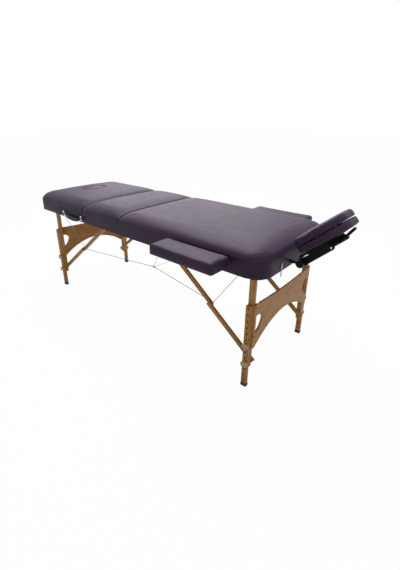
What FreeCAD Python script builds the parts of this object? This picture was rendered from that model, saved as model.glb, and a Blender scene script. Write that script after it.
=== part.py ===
"""Portable folding massage table: three padded sections on a beech frame with folding leg sets."""
import FreeCAD, Part
import math
import os
import re

Vector = FreeCAD.Vector
doc = FreeCAD.newDocument("massage_table")

# Driving dimensions in millimetres and degrees, from the fold line of the top and from the floor.
SIZES = [
    ("fold_x", -110.766, "fold line from the middle of the whole part"),
    ("half_length", 930, "fold line to each end of the top"),
    ("table_width", 670, "width of the top"),
    ("middle_length", 355, "fold line to the seam of the lifting back"),
    ("fold_gap", 0.6, "gap between each half and the fold plane"),
    ("seam_gap", 2, "gap between the lifting back and the middle section"),
    ("corner_radius", 85, "plan radius of the outer corners"),
    ("seam_radius", 9, "plan radius of the corners at the seams"),
    ("frame_bottom", 593, "underside of the rails"),
    ("rail_height", 56, "height of the rails"),
    ("rail_thick", 16, "thickness of the rails"),
    ("wrap_thick", 3, "leather wrapped round the frame"),
    ("deck_thick", 6, "plywood deck"),
    ("back_rest_gap", 0, "gap between the lifting back and its frame"),
    ("back_deck_thick", 10, "plywood of the lifting back"),
    ("top_height", 717, "highest point of the cushions"),
    ("edge_roll", 36, "radius of the padded top edge"),
    ("crown_rise", 7, "crown of a cushion above its rolled edge"),
    ("crown_reach", 150, "distance over which the crown rises"),
    ("waist_draw", 1.5, "draw-in of the padded sides"),
    ("seam_share", 0.5, "share of the edge roll that a seam edge has"),
    ("bearer_height", 16, "height of the cross bearers"),
    ("bearer_width", 50, "width of the cross bearers"),
    ("prop_bearer_back", 245, "seam to the bearer that the prop rests on"),
    ("leg_inset_left", 143, "left end of the top to its leg pivots"),
    ("leg_inset_right", 74, "right end of the top to its leg pivots"),
    ("pivot_rise", 24, "leg pivots above the underside of the rails"),
    ("pivot_height", "=frame_bottom + pivot_rise", "leg pivots above the floor"),
    ("leg_width", 27, "legs along the table"),
    ("leg_thick", 18, "legs across the table"),
    ("leg_clear", 14, "room for the knobs between the side rails and the folded legs"),
    ("leg_outer", "=table_width / 2 - wrap_thick - rail_thick - leg_clear", "middle to the outer face of an extension leg"),
    ("lap_gap", 0.3, "running gap between lapped pieces"),
    ("leg_bottom", 112, "lower end of an upper leg"),
    ("extension_top", 446, "upper end of an extension leg"),
    ("hole_first", 71, "lowest height hole above the floor"),
    ("hole_pitch", 33, "spacing of the height holes"),
    ("hole_radius", 3.5, "radius of the height holes"),
    ("stud_radius", 3, "radius of the clamp studs"),
    ("knob_radius", 13, "radius of the clamp knobs"),
    ("knob_thick", 11, "thickness of the clamp knobs"),
    ("foot_height", 20, "height of the rubber feet"),
    ("foot_lip", 1, "rubber standing proud of the leg"),
    ("panel_thick", 9, "thickness of the end panels"),
    ("panel_top", 452, "top of an end panel at the legs"),
    ("panel_sag", 14, "dip of the panel's top edge at the middle"),
    ("panel_foot", 219, "lowest point of an end panel"),
    ("panel_tip", 22, "width of the panel's lower tips"),
    ("arch_top", 316, "crown of the panel's arch"),
    ("relief_depth", 5.8, "pocket in the panel's inner face for the passing strut ends"),
    ("relief_drop", 40, "panel's top edge to the bottom of that pocket"),
    ("relief_margin", 1.5, "pocket on each side of a strut"),
    ("slot_top", 388, "top of the panel's side openings"),
    ("slot_bottom", 296, "bottom of the panel's side openings"),
    ("slot_width", 56, "width of the panel's side openings"),
    ("strut_width", 22, "height of a strut's section"),
    ("strut_thick", 12, "thickness of a strut"),
    ("strut_reach", 603, "leg pivot to the strut pivot on the frame"),
    ("strut_foot", 150, "strut pivot on the leg above the floor"),
    ("strut_lap", 15, "strut length past its knuckle and frame pivots"),
    ("strut_tail", 25, "strut length past its pivot on the leg"),
    ("block_width", 44, "strut blocks along the table"),
    ("block_depth", 20, "strut blocks across the table"),
    ("pin_radius", 4, "radius of pivot bolts"),
    ("pin_play", 0.05, "radial running clearance on pivot bolts"),
    ("bolt_head_radius", 8, "radius of bolt heads"),
    ("bolt_head_thick", 3, "thickness of bolt heads"),
    ("corner_relief", 2.2, "right pivot bolts short of the side rails, for the bent corners"),
    ("spacer_radius", 11, "radius of the leg spacers"),
    ("knuckle_post", 6, "knuckle bolt standing inside the struts"),
    ("cable_radius", 1.5, "radius of the steel brace cables"),
    ("stay_radius", 1, "radius of the elastic stays"),
    ("ring_x", 174, "gathering ring of a cable from the fold line"),
    ("ring_height", 412, "gathering ring of a cable above the floor"),
    ("ring_radius", 4, "radius of the gathering ring"),
    ("stay_anchor", 525, "eye of the long stay from the fold line"),
    ("end_anchor_left", 142, "eye of a left end cable from the leg pivots"),
    ("end_anchor_right", 39, "eye of a right end cable from the leg pivots"),
    ("anchor_rise", 14, "eyes above the underside of the rails"),
    ("anchor_height", "=frame_bottom + anchor_rise", "eyes above the floor"),
    ("eye_radius", 2.5, "radius of the screw eyes"),
    ("hinge_radius", 4, "radius of the hinge barrels"),
    ("hinge_leaf", 2, "thickness of the hinge leaves"),
    ("hinge_reach", 40, "width of a hinge leaf"),
    ("hinge_length", 70, "length of a hinge"),
    ("hinge_spread", 215, "middle of the table to a hinge"),
    ("hole_from_end", 215, "left end to the middle of the breathing hole"),
    ("hole_half_length", 62, "half of the breathing hole along the table"),
    ("hole_half_width", 88, "half of the breathing hole across the table"),
    ("plug_gap", 0.4, "gap round the plug"),
    ("plug_drop", 3, "plug below the top of the cushion"),
    ("welt_radius", 4.7, "radius of the leather welt in the back's seam"),
    ("welt_drop", 20, "welt below the top of the cushions"),
    ("welt_height", "=top_height - welt_drop", "welt above the floor"),
    ("prop_rod", 4, "radius of the prop's rod"),
    ("prop_pivot", 285, "seam to the prop's pivot"),
    ("prop_clear", 40, "left end of the top to the foot of the stowed prop"),
    ("prop_length", "=half_length - middle_length - prop_pivot - prop_clear", "length of the prop"),
    ("prop_half_width", 150, "half of the prop's width"),
    ("armrest_start", 418, "fold line to an armrest"),
    ("armrest_length", 362, "length of an armrest"),
    ("armrest_gap", 19, "side of the top to an armrest"),
    ("armrest_width", 124, "width of an armrest"),
    ("armrest_rise", 37, "armrest's board above the underside of the rails"),
    ("armrest_board", "=frame_bottom + armrest_rise", "underside of an armrest's board"),
    ("armrest_board_thick", 10, "thickness of an armrest's board"),
    ("armrest_depth", 50, "board and pad of an armrest"),
    ("armrest_top", "=armrest_board + armrest_depth", "top of an armrest's pad"),
    ("armrest_roll", 10, "rolled edge of an armrest's pad"),
    ("armrest_inset", 5, "armrest board inside its pad"),
    ("armrest_rod", 6, "radius of an armrest's rods"),
    ("armrest_rod_inset", 55, "armrest's ends to its rods"),
    ("head_rod", 7, "radius of the headrest's rods"),
    ("head_rod_spread", 102, "middle of the table to a headrest rod"),
    ("head_rod_rise", 28, "headrest rods above the underside of the rails"),
    ("head_rod_height", "=frame_bottom + head_rod_rise", "headrest rods above the floor"),
    ("head_rod_inner", 80, "headrest rod inside the end of the top"),
    ("head_pivot_out", 50, "end of the top to the headrest's pivot"),
    ("head_pivot_rise", 0, "headrest's pivot above its rods"),
    ("head_pivot_height", "=head_rod_height + head_pivot_rise", "headrest's pivot above the floor"),
    ("head_tilt", 40, "rise of the headrest at rest"),
    ("head_hub", 18, "radius of the headrest's knuckles"),
    ("head_arm_spread", 82, "middle of the table to the tilting arms"),
    ("head_arm_thick", 10, "thickness of the tilting arms"),
    ("head_arm_length", 153, "headrest's pivot to the bolts of the tilting arms"),
    ("head_arm_end", 11, "radius of the tilting arms' outer ends"),
    ("head_arm_rise", 2, "bolts of the tilting arms above the line of the pivot"),
    ("head_wall", 11, "headrest rods to the outer faces of the knuckles"),
    ("head_start", 45, "pivot to the pads along the headrest"),
    ("head_length", 205, "length of the pads"),
    ("head_width", 290, "width of the pads"),
    ("head_board", 6, "thickness of the headrest's board"),
    ("head_base", 30, "thickness of the base pad"),
    ("head_strip", 5, "thickness of the hook strips"),
    ("head_strip_length", 29, "length of the hook strips at the pads' ends"),
    ("head_strip_width", 22, "width of the hook strips beside the opening"),
    ("head_face", 34, "thickness of the face pad"),
    ("head_corner", 118, "plan radius of the pads"),
    ("head_mouth", 96, "width of the pads' opening"),
    ("head_mouth_depth", 135, "depth of the pads' opening"),
    ("head_roll", 9, "rolled edge of the pads"),
    ("lever_length", 82, "length of the headrest's lever"),
    ("lever_height", 13, "height of the headrest's lever"),
    ("lever_thick", 14, "thickness of the headrest's lever"),
    ("latch_spread", 180, "middle of the table to a latch"),
    ("latch_width", 15, "width of a latch"),
    ("latch_length", 68, "length of a latch"),
    ("latch_thick", 3, "thickness of a latch"),
    ("latch_rise", 35, "latch pivot above the underside of the rails"),
    ("latch_height", "=frame_bottom + latch_rise", "latch pivot above the floor"),
    ("handle_middle", 457, "fold line to the middle of the carry handle"),
    ("handle_span", 204, "distance between the handle's loops"),
    ("handle_rise", 36, "handle's pivots above the underside of the rails"),
    ("handle_height", "=frame_bottom + handle_rise", "handle's pivots above the floor"),
    ("handle_drop", 24, "pivots to the grip"),
    ("handle_out", 15, "side of the top to the handle's pivots"),
    ("handle_grip", 11, "radius of the grip"),
    ("handle_wire", 3, "radius of the handle's loops"),
]

sheet = doc.addObject("Spreadsheet::Sheet", "Sizes")
for row, (alias, size, note) in enumerate(SIZES, start=1):
    sheet.set("A%d" % row, str(size))
    sheet.setAlias("A%d" % row, alias)
    sheet.set("B%d" % row, note)
doc.recompute()

nodes = []
# Where the drawing in hand has its x = 0: the fold line, or the headrest's own pivot.
datum = {"x": "fold_x"}


def bind(expression):
    """Points each size named in an expression at the sheet."""
    return re.sub(r"[a-z]+(?:_[a-z]+)+", lambda found: "Sizes." + found.group(0), str(expression))


def number(expression):
    """The value of an expression of sizes."""
    return float(sheet.evalExpression(bind(expression)))


def node(label, shape_object):
    """Names a finished sub-part."""
    shape_object.Label = label
    nodes.append(shape_object)
    return shape_object


def place(shape_object, x, y, z):
    """Sets an object at a point given from the datum."""
    for axis, value in zip("xyz", ("%s + %s" % (x, datum["x"]), y, z)):
        shape_object.setExpression("Placement.Base." + axis, bind(value))


def box(name, x, y, z):
    """A box between two expressions on each axis."""
    made = doc.addObject("Part::Box", name)
    for side, (low, high) in zip(("Length", "Width", "Height"), (x, y, z)):
        made.setExpression(side, bind("(%s) - (%s)" % (high, low)))
    place(made, x[0], y[0], z[0])
    return made


AXIS_TURN = {"x": (Vector(0, 1, 0), 90), "y": (Vector(1, 0, 0), -90), "z": (Vector(0, 0, 1), 0)}


def rod(name, axis, radius, start, length):
    """A cylinder along an axis of the table."""
    made = doc.addObject("Part::Cylinder", name)
    made.Placement = FreeCAD.Placement(Vector(), FreeCAD.Rotation(*AXIS_TURN[axis]))
    made.setExpression("Radius", bind(radius))
    made.setExpression("Height", bind(length))
    place(made, *start)
    return made


def fuse(name, pieces):
    made = doc.addObject("Part::MultiFuse", name)
    made.Shapes = pieces
    return made


def group(name, pieces):
    made = doc.addObject("Part::Compound", name)
    made.Links = pieces
    return made


def cut(name, base, tools):
    made = doc.addObject("Part::Cut", name)
    made.Base = base
    made.Tool = tools[0] if len(tools) == 1 else fuse(name + "_tools", tools)
    return made


def across(side, inner, outer):
    """The span across the table from inner to outer on the near (-1) or far (1) side."""
    return (inner, outer) if side > 0 else ("-(%s)" % outer, "-(%s)" % inner)


def along(end, inner, outer):
    """The span along the table from inner to outer on the left (-1) or right (1) half."""
    return across(end, inner, outer)


def extrude(name, edges, plane, depth):
    """A closed outline drawn in the table's xy, yz or xz plane, given a depth along the plane's normal."""
    drawing = doc.addObject("Sketcher::SketchObject", name + "_outline")
    turns = {
        "xy": FreeCAD.Rotation(),
        "yz": FreeCAD.Rotation(Vector(0, 1, 0), Vector(0, 0, 1), Vector(1, 0, 0), "ZXY"),
        "xz": FreeCAD.Rotation(Vector(1, 0, 0), Vector(0, 0, 1), Vector(0, -1, 0), "ZXY"),
    }
    drawing.Placement = FreeCAD.Placement(Vector(), turns[plane])
    drawing.addGeometry(edges, False)
    made = doc.addObject("Part::Extrusion", name)
    made.Base = drawing
    made.DirMode = "Normal"
    made.Solid = True
    made.setExpression("LengthFwd", bind(depth))
    if plane == "xy":
        made.setExpression("Placement.Base.x", bind(datum["x"]))
    return made


def line(start, end):
    return Part.LineSegment(Vector(*start, 0), Vector(*end, 0))


def arc(start, middle, end):
    return Part.Arc(Vector(*start, 0), Vector(*middle, 0), Vector(*end, 0))


DIAGONAL = math.sqrt(0.5)


def rounded_edges(x, y, radii):
    """A rectangle whose corner radii are given at low x and at high x."""
    (x0, x1), (y0, y1), (low, high) = x, y, radii
    k_low, k_high = low * (1 - DIAGONAL), high * (1 - DIAGONAL)
    return [
        line((x0 + low, y0), (x1 - high, y0)),
        arc((x1 - high, y0), (x1 - k_high, y0 + k_high), (x1, y0 + high)),
        line((x1, y0 + high), (x1, y1 - high)),
        arc((x1, y1 - high), (x1 - k_high, y1 - k_high), (x1 - high, y1)),
        line((x1 - high, y1), (x0 + low, y1)),
        arc((x0 + low, y1), (x0 + k_low, y1 - k_low), (x0, y1 - low)),
        line((x0, y1 - low), (x0, y0 + low)),
        arc((x0, y0 + low), (x0 + k_low, y0 + k_low), (x0 + low, y0)),
    ]


def section(edges, height):
    """A closed wire of the edges at a height."""
    wire = Part.Wire([edge.toShape() for edge in edges])
    wire.translate(Vector(0, 0, height))
    return wire


def loft(name, sections):
    made = doc.addObject("Part::Feature", name)
    made.Shape = Part.makeLoft(sections, True, True)
    made.setExpression("Placement.Base.x", bind(datum["x"]))
    return made


def crowned(name, x, width, radii, bottom, top, shares):
    """A padded block: drawn-in sides, a rolled edge and a crown; shares scale the roll at low and high x."""
    roll, rise = number("edge_roll"), number("crown_rise")
    reach = number("crown_reach")
    shoulder = top - rise - roll
    levels = [(bottom, number("waist_draw")), (shoulder, 0.0)]
    for turn in (25, 50, 72):
        swing = math.radians(turn)
        levels.append((shoulder + roll * math.sin(swing), roll * (1 - math.cos(swing))))
    levels.append((shoulder + roll, roll))
    levels.append((top - 0.25 * rise, roll + 0.45 * reach))
    levels.append((top, roll + reach))
    sections = []
    for height, inset in levels:
        low, high = x[0] + inset * shares[0], x[1] - inset * shares[1]
        half = width / 2 - inset
        keep = [max(radius - 0.6 * min(inset, roll), 4.0) for radius in radii]
        sections.append(section(rounded_edges((low, high), (-half, half), keep), height))
    return loft(name, sections)


RAIL_TOP = "frame_bottom + rail_height"
FRAME_OUTER = "table_width / 2 - wrap_thick"
RAIL_INNER = "table_width / 2 - wrap_thick - rail_thick"
FRAME_CORNER = "corner_radius - wrap_thick"
STRAIGHT_END = "half_length - corner_radius"
SIDES = (("near", -1), ("far", 1))


def end_rail(name, end):
    """The bent end rail with both quarter-round corners, as one laminated piece."""
    outer, inner = number(FRAME_OUTER), number(RAIL_INNER)
    tip, straight = end * number("half_length - wrap_thick"), end * number(STRAIGHT_END)
    back = end * number("half_length - wrap_thick - rail_thick")
    big = number(FRAME_CORNER)
    small = big - number("rail_thick")
    centre = number("table_width / 2 - corner_radius")
    k_big, k_small = big * DIAGONAL, small * DIAGONAL
    edges = [
        arc((straight, -outer), (straight + end * k_big, -centre - k_big), (tip, -centre)),
        line((tip, -centre), (tip, centre)),
        arc((tip, centre), (straight + end * k_big, centre + k_big), (straight, outer)),
        line((straight, outer), (straight, inner)),
        arc((straight, inner), (straight + end * k_small, centre + k_small), (back, centre)),
        line((back, centre), (back, -centre)),
        arc((back, -centre), (straight + end * k_small, -centre - k_small), (straight, -inner)),
        line((straight, -inner), (straight, -outer)),
    ]
    made = extrude(name, edges, "xy", "rail_height")
    made.setExpression("Placement.Base.z", bind("frame_bottom"))
    return made


def side_rail(name, end, side, holes):
    """A straight side rail, bored for the rods named by their distance from the fold line."""
    rail = box(name, along(end, "fold_gap", STRAIGHT_END), across(side, RAIL_INNER, FRAME_OUTER),
               ("frame_bottom", RAIL_TOP))
    if not holes:
        return rail
    low = across(side, RAIL_INNER, FRAME_OUTER)[0]
    bores = [rod("%s_bore_%d" % (name, index), "y", "armrest_rod + pin_play",
                 (start, low, "armrest_board - armrest_rod"), "rail_thick")
             for index, start in enumerate(holes)]
    return cut(name + "_bored", rail, bores)


ARMREST_RODS = ("armrest_start + armrest_rod_inset", "armrest_start + armrest_length - armrest_rod_inset")


def frame():
    """Rails and bearers of both halves."""
    node("a_side_rails", group("a_rails", [side_rail("a_rail_" + name, -1, side, ()) for name, side in SIDES]))
    node("b_side_rails", group("b_rails", [side_rail("b_rail_" + name, 1, side, ARMREST_RODS)
                                           for name, side in SIDES]))
    node("a_end_rail", end_rail("a_end", -1))
    sockets = [rod("socket_" + name, "x", "head_rod + pin_play",
                   ("half_length - wrap_thick - rail_thick", "%d * head_rod_spread" % side, "head_rod_height"),
                   "rail_thick") for name, side in SIDES]
    node("b_end_rail", cut("b_end", end_rail("b_end_bar", 1), sockets))
    for letter, end in (("a", -1), ("b", 1)):
        node(letter + "_fold_rail", box(letter + "_fold", along(end, "fold_gap", "fold_gap + rail_thick"),
                                        ("-(%s)" % RAIL_INNER, RAIL_INNER), ("frame_bottom", RAIL_TOP)))
    bearer_z = ("%s - bearer_height" % RAIL_TOP, RAIL_TOP)
    span = ("-(%s)" % RAIL_INNER, RAIL_INNER)
    hinge_bearer = box("hinge_bearer", ("-middle_length - bearer_width / 2", "-middle_length + bearer_width / 2"),
                       span, bearer_z)
    prop_bearer = box("prop_bearer", ("-middle_length - prop_bearer_back",
                                      "-middle_length - prop_bearer_back + bearer_width / 2"), span, bearer_z)
    node("a_bearers", group("a_bearer_set", [hinge_bearer, prop_bearer] + strut_blocks("a", -1)))
    node("b_bearers", group("b_bearer_set", strut_blocks("b", 1)))


LEG_PLACE = {-1: "half_length - leg_inset_left", 1: "half_length - leg_inset_right"}
LEG_INNER = "leg_outer - 2 * leg_thick - lap_gap"
LOWER_STRUT_INNER = "leg_outer - 2 * leg_thick - strut_thick - 2 * lap_gap"
UPPER_STRUT_INNER = "leg_outer - 2 * leg_thick - 2 * strut_thick - 3 * lap_gap"
BLOCK_FACE = "leg_outer - 2 * leg_thick - 2 * strut_thick - 4 * lap_gap"
CABLE_PLANE = "leg_outer - 2 * leg_thick - 2 * strut_thick - 3 * lap_gap - knuckle_post + cable_radius"
STRUT_DROP = "(pivot_height - strut_foot)"
STRUT_LINE = "sqrt(strut_reach^2 + (pivot_height - strut_foot)^2)"
UPPER_STRUT = "((%s + strut_reach - %s) / 2)" % (STRUT_LINE, STRUT_DROP)
LOWER_STRUT = "((%s - strut_reach + %s) / 2)" % (STRUT_LINE, STRUT_DROP)


def eye_place(end):
    """Where the end cable of a half meets its side rail."""
    return "%d * (%s - end_anchor_%s)" % (end, LEG_PLACE[end], "left" if end < 0 else "right")


def strut_pivot(end):
    """Distance from the fold line to the strut pivot on the frame."""
    return "(%s - strut_reach)" % LEG_PLACE[end]


def knuckle(end):
    """Place along the table and height of the struts' knuckle."""
    share = "%s / %s" % (LOWER_STRUT, STRUT_LINE)
    return ("%d * (%s - strut_reach * %s)" % (end, LEG_PLACE[end], share),
            "strut_foot + %s * %s" % (STRUT_DROP, share))


def strut_blocks(letter, end):
    """Blocks under the deck that carry the upper struts."""
    low, high = along(end, "%s - block_width / 2" % strut_pivot(end), "%s + block_width / 2" % strut_pivot(end))
    return [box("%s_block_%s" % (letter, name), (low, high),
                across(side, "%s - block_depth" % BLOCK_FACE, BLOCK_FACE), ("frame_bottom + 5", RAIL_TOP))
            for name, side in SIDES]


def plan(x, inset, width, radii):
    """A rounded plan outline drawn in by an inset."""
    half = width / 2 - inset
    inner = [max(radius - inset, 1.0) for radius in radii]
    return rounded_edges((x[0] + inset, x[1] - inset), (-half, half), inner)


def face_hole(name, gap, low, high):
    """The oval of the breathing hole, larger by a gap."""
    drawn = doc.addObject("Part::Ellipse", name + "_oval")
    drawn.Placement = FreeCAD.Placement(Vector(), FreeCAD.Rotation(Vector(0, 0, 1), 90))
    drawn.setExpression("MajorRadius", bind("hole_half_width + %s" % gap))
    drawn.setExpression("MinorRadius", bind("hole_half_length + %s" % gap))
    place(drawn, "hole_from_end - half_length", "0", low)
    made = doc.addObject("Part::Extrusion", name)
    made.Base = drawn
    made.DirMode = "Custom"
    made.Dir = Vector(0, 0, 1)
    made.Solid = True
    made.setExpression("LengthFwd", bind("(%s) - (%s)" % (high, low)))
    return made


BACK_DECK_LOW = RAIL_TOP + " + back_rest_gap"
BACK_DECK_HIGH = BACK_DECK_LOW + " + back_deck_thick"
DECK_TOP = RAIL_TOP + " + deck_thick"


def cavity(name, x, radii, low, high):
    """The room for frame and deck inside a cushion's wrap."""
    made = extrude(name, plan(x, 0, number("table_width - 2 * wrap_thick"), radii), "xy",
                   "(%s) - (%s)" % (high, low))
    made.setExpression("Placement.Base.z", bind(low))
    return made


def rod_holes():
    """Clear holes in the wrap for the armrests' and the headrest's rods."""
    holes = [rod("armrest_hole_%s_%d" % (name, index), "y", "armrest_rod + 1",
                 (start, across(side, FRAME_OUTER, "table_width / 2")[0], "armrest_board - armrest_rod"),
                 "wrap_thick") for name, side in SIDES for index, start in enumerate(ARMREST_RODS)]
    return holes + [rod("head_hole_" + name, "x", "head_rod + 1",
                        ("half_length - wrap_thick", "%d * head_rod_spread" % side, "head_rod_height"),
                        "wrap_thick") for name, side in SIDES]


def frame_wrap(letter, outer, inner, outer_radii, inner_radii, holes):
    """The leather round a half's rails, open at the fold."""
    shell = extrude(letter + "_wrap_outer", plan(outer, 0, number("table_width"), outer_radii), "xy", "rail_height")
    shell.setExpression("Placement.Base.z", bind("frame_bottom"))
    hollow = cavity(letter + "_wrap_hollow", inner, inner_radii, "frame_bottom - 1", RAIL_TOP + " + 1")
    node(letter + "_frame_wrap", cut(letter + "_wrap", shell, [hollow] + holes))


PROP_PIVOT = "-middle_length - prop_pivot"
PROP_HEIGHT = "(%s - prop_rod - lap_gap)" % BACK_DECK_LOW


def prop_blocks():
    """Two bored blocks under the back's deck that carry the prop."""
    blocks = []
    for name, side in SIDES:
        span = across(side, "prop_half_width / 2 - 15", "prop_half_width / 2 + 15")
        block = box("prop_block_" + name, (PROP_PIVOT + " - 3 * prop_rod", PROP_PIVOT + " + 3 * prop_rod"), span,
                    (PROP_HEIGHT + " - 2 * prop_rod", BACK_DECK_LOW))
        bore = rod("prop_bore_" + name, "y", "prop_rod + pin_play", (PROP_PIVOT, span[0], PROP_HEIGHT), "30")
        blocks.append(cut("prop_carrier_" + name, block, [bore]))
    return blocks


def tops():
    """Decks, cushions, the wraps of the frame and the plug."""
    width, corner, seam = number("table_width"), number("corner_radius"), number("seam_radius")
    wrap, end = number("wrap_thick"), number("half_length")
    gap, middle, slit = number("fold_gap"), number("middle_length"), number("seam_gap") / 2
    bottom, top = number(RAIL_TOP), number("top_height")
    share = number("seam_share")
    inside = number(FRAME_CORNER)

    deck = extrude("main_deck_board", plan((gap, end - wrap), 0, width - 2 * wrap, (1, inside)), "xy", "deck_thick")
    deck.setExpression("Placement.Base.z", bind(RAIL_TOP))
    node("main_deck", deck)
    node("middle_deck", box("middle_deck_board", ("seam_gap / 2 - middle_length", "-fold_gap"),
                            ("wrap_thick - table_width / 2", FRAME_OUTER), (RAIL_TOP, DECK_TOP)))

    main = crowned("main_pad", (gap, end), width, (seam, corner), bottom, top, (share, 1))
    room = cavity("main_room", (-1, end - wrap), (1, inside), RAIL_TOP + " - 1", DECK_TOP)
    node("main_cushion", cut("main_cover", main, [room]))
    pad = crowned("middle_pad", (slit - middle, -gap), width, (seam, seam), bottom, top, (share, share))
    room = cavity("middle_room", (-middle - 1, 1), (1, 1), RAIL_TOP + " - 1", DECK_TOP)
    node("middle_cushion", cut("middle_cover", pad, [room]))

    low, high = BACK_DECK_LOW, BACK_DECK_HIGH
    board = extrude("back_board", plan((wrap - end, -middle - slit), 0, width - 2 * wrap, (inside, 1)), "xy",
                    "back_deck_thick")
    board.setExpression("Placement.Base.z", bind(low))
    hole = face_hole("deck_hole", "plug_gap", low + " - 1", high + " + 1")
    node("back_deck", group("back_deck_set", [cut("back_board_holed", board, [hole])] + prop_blocks()))
    pad = crowned("back_pad", (-end, -middle - slit), width, (corner, seam), number(low) + 0.5, top, (1, share))
    room = cavity("back_room", (wrap - end, -middle + 1), (inside, 1), low, high)
    hole = face_hole("cushion_hole", "plug_gap", low, "top_height + 1")
    node("back_cushion", cut("back_cover", pad, [room, hole]))
    frame_wrap("a", (-end, -gap), (wrap - end, 2), (corner, 1), (inside, 1), [])
    frame_wrap("b", (gap, end), (-2, end - wrap), (1, corner), (1, inside), rod_holes())
    node("face_plug", face_hole("plug", "0", low + " + 1", "top_height - plug_drop"))


def upper_leg(name, end, side):
    """An upper leg with its rounded head, pivot bore, stud bores and the strut's pivot pin."""
    x = "%d * (%s)" % (end, LEG_PLACE[end])
    across_leg = across(side, LEG_INNER, "leg_outer - leg_thick - lap_gap")
    post = box(name + "_post", ("%s - leg_width / 2" % x, "%s + leg_width / 2" % x), across_leg,
               ("leg_bottom", "pivot_height"))
    head = rod(name + "_head", "y", "leg_width / 2", (x, across_leg[0], "pivot_height"), "leg_thick")
    pin_span = across(side, LOWER_STRUT_INNER, LEG_INNER)
    pin = rod(name + "_pin", "y", "pin_radius", (x, pin_span[0], "strut_foot"), "strut_thick + lap_gap")
    bores = [rod(name + "_pivot_bore", "y", "pin_radius + pin_play",
                 (x, across_leg[0], "pivot_height"), "leg_thick")]
    bores += [rod("%s_stud_bore_%d" % (name, hole), "y", "stud_radius + pin_play",
                  (x, across_leg[0], "hole_first + %d * hole_pitch" % hole), "leg_thick") for hole in STUD_HOLES]
    return fuse(name, [cut(name + "_bored", fuse(name + "_body", [post, head]), bores), pin])


STUD_HOLES = (2, 5)
HOLE_COUNT = 11


def extension_leg(name, end, side):
    """An extension leg with its row of height holes."""
    x = "%d * (%s)" % (end, LEG_PLACE[end])
    span = across(side, "leg_outer - leg_thick", "leg_outer")
    post = box(name + "_post", ("%s - leg_width / 2" % x, "%s + leg_width / 2" % x), span,
               ("foot_height", "extension_top"))
    holes = [rod("%s_hole_%d" % (name, hole), "y", "hole_radius",
                 (x, span[0], "hole_first + %d * hole_pitch" % hole), "leg_thick") for hole in range(HOLE_COUNT)]
    return cut(name, post, holes)


def rubber_foot(name, end, side):
    """A rubber foot with a bevelled tread."""
    x = "%d * (%s)" % (end, LEG_PLACE[end])
    span = across(side, "leg_outer - leg_thick", "leg_outer")
    block = box(name + "_block", ("%s - leg_width / 2 - foot_lip" % x, "%s + leg_width / 2 + foot_lip" % x),
                ("%s - foot_lip" % span[0], "%s + foot_lip" % span[1]), ("0", "foot_height"))
    doc.recompute()
    made = doc.addObject("Part::Chamfer", name)
    made.Base = block
    tread = [index for index, edge in enumerate(block.Shape.Edges, start=1) if edge.BoundBox.ZMax < 0.001]
    made.Edges = [(index, 3.0, 3.0) for index in tread]
    return made


def end_panel(name, end):
    """The arched panel between a pair of legs, with a teardrop opening beside each leg."""
    half = number("leg_outer - leg_thick - lap_gap")
    inner = number(LEG_INNER)
    top, dip = number("panel_top"), number("panel_top - panel_sag")
    foot, tip, crest = number("panel_foot"), number("panel_tip"), number("arch_top")
    start = half - tip
    edges = [
        arc((half, top), (0, dip), (-half, top)),
        line((-half, top), (-half, foot)),
        line((-half, foot), (-start, foot)),
        arc((-start, foot), (0.44 * -start, foot + 0.80 * (crest - foot)), (0, crest)),
        arc((0, crest), (0.44 * start, foot + 0.80 * (crest - foot)), (start, foot)),
        line((start, foot), (half, foot)),
        line((half, foot), (half, top)),
    ]
    board = extrude(name + "_board", edges, "yz", "panel_thick")
    low, high, reach = number("slot_bottom"), number("slot_top"), inner - number("slot_width")
    waist = low + 0.68 * (high - low)
    slots = []
    for label, side in SIDES:
        outline = [
            line((side * inner, low), (side * inner, high)),
            arc((side * inner, high), (side * (reach + 0.22 * (inner - reach)), high - 0.10 * (high - low)),
                (side * reach, waist)),
            arc((side * reach, waist), (side * (reach + 0.30 * (inner - reach)), low + 0.28 * (high - low)),
                (side * inner, low)),
        ]
        slots.append(extrude("%s_slot_%s" % (name, label), outline, "yz", "panel_thick"))
    datum["x"] = "0"
    depth = ("-1", "relief_depth") if end > 0 else ("panel_thick - relief_depth", "panel_thick + 1")
    for label, side in SIDES:
        lane = across(side, UPPER_STRUT_INNER + " - relief_margin",
                      UPPER_STRUT_INNER + " + strut_thick + relief_margin")
        slots.append(box("%s_relief_%s" % (name, label), depth, lane, ("panel_top - relief_drop", "panel_top + 1")))
    datum["x"] = "fold_x"
    made = cut(name, board, slots)
    face = "%d * (%s + leg_width / 2)" % (end, LEG_PLACE[end])
    made.setExpression("Placement.Base.x", bind((face if end > 0 else face + " - panel_thick") + " + fold_x"))
    return made


def clamp_knobs(letter, end):
    """Four knobs with their studs, screwed through an extension leg into the upper leg."""
    x = "%d * (%s)" % (end, LEG_PLACE[end])
    pieces = []
    for name, side in SIDES:
        for hole in STUD_HOLES:
            z = "hole_first + %d * hole_pitch" % hole
            tag = "%s_knob_%s_%d" % (letter, name, hole)
            knob_span = across(side, "leg_outer + lap_gap", "leg_outer + lap_gap + knob_thick")
            disc = rod(tag + "_disc", "y", "knob_radius", (x, knob_span[0], z), "knob_thick")
            stud_span = across(side, LEG_INNER, "leg_outer + lap_gap + 1")
            stud = rod(tag + "_stud", "y", "stud_radius", (x, stud_span[0], z), "2 * leg_thick + 2 * lap_gap + 1")
            pieces.append(fuse(tag, [disc, stud]))
    return group(letter + "_knob_set", pieces)


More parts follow.
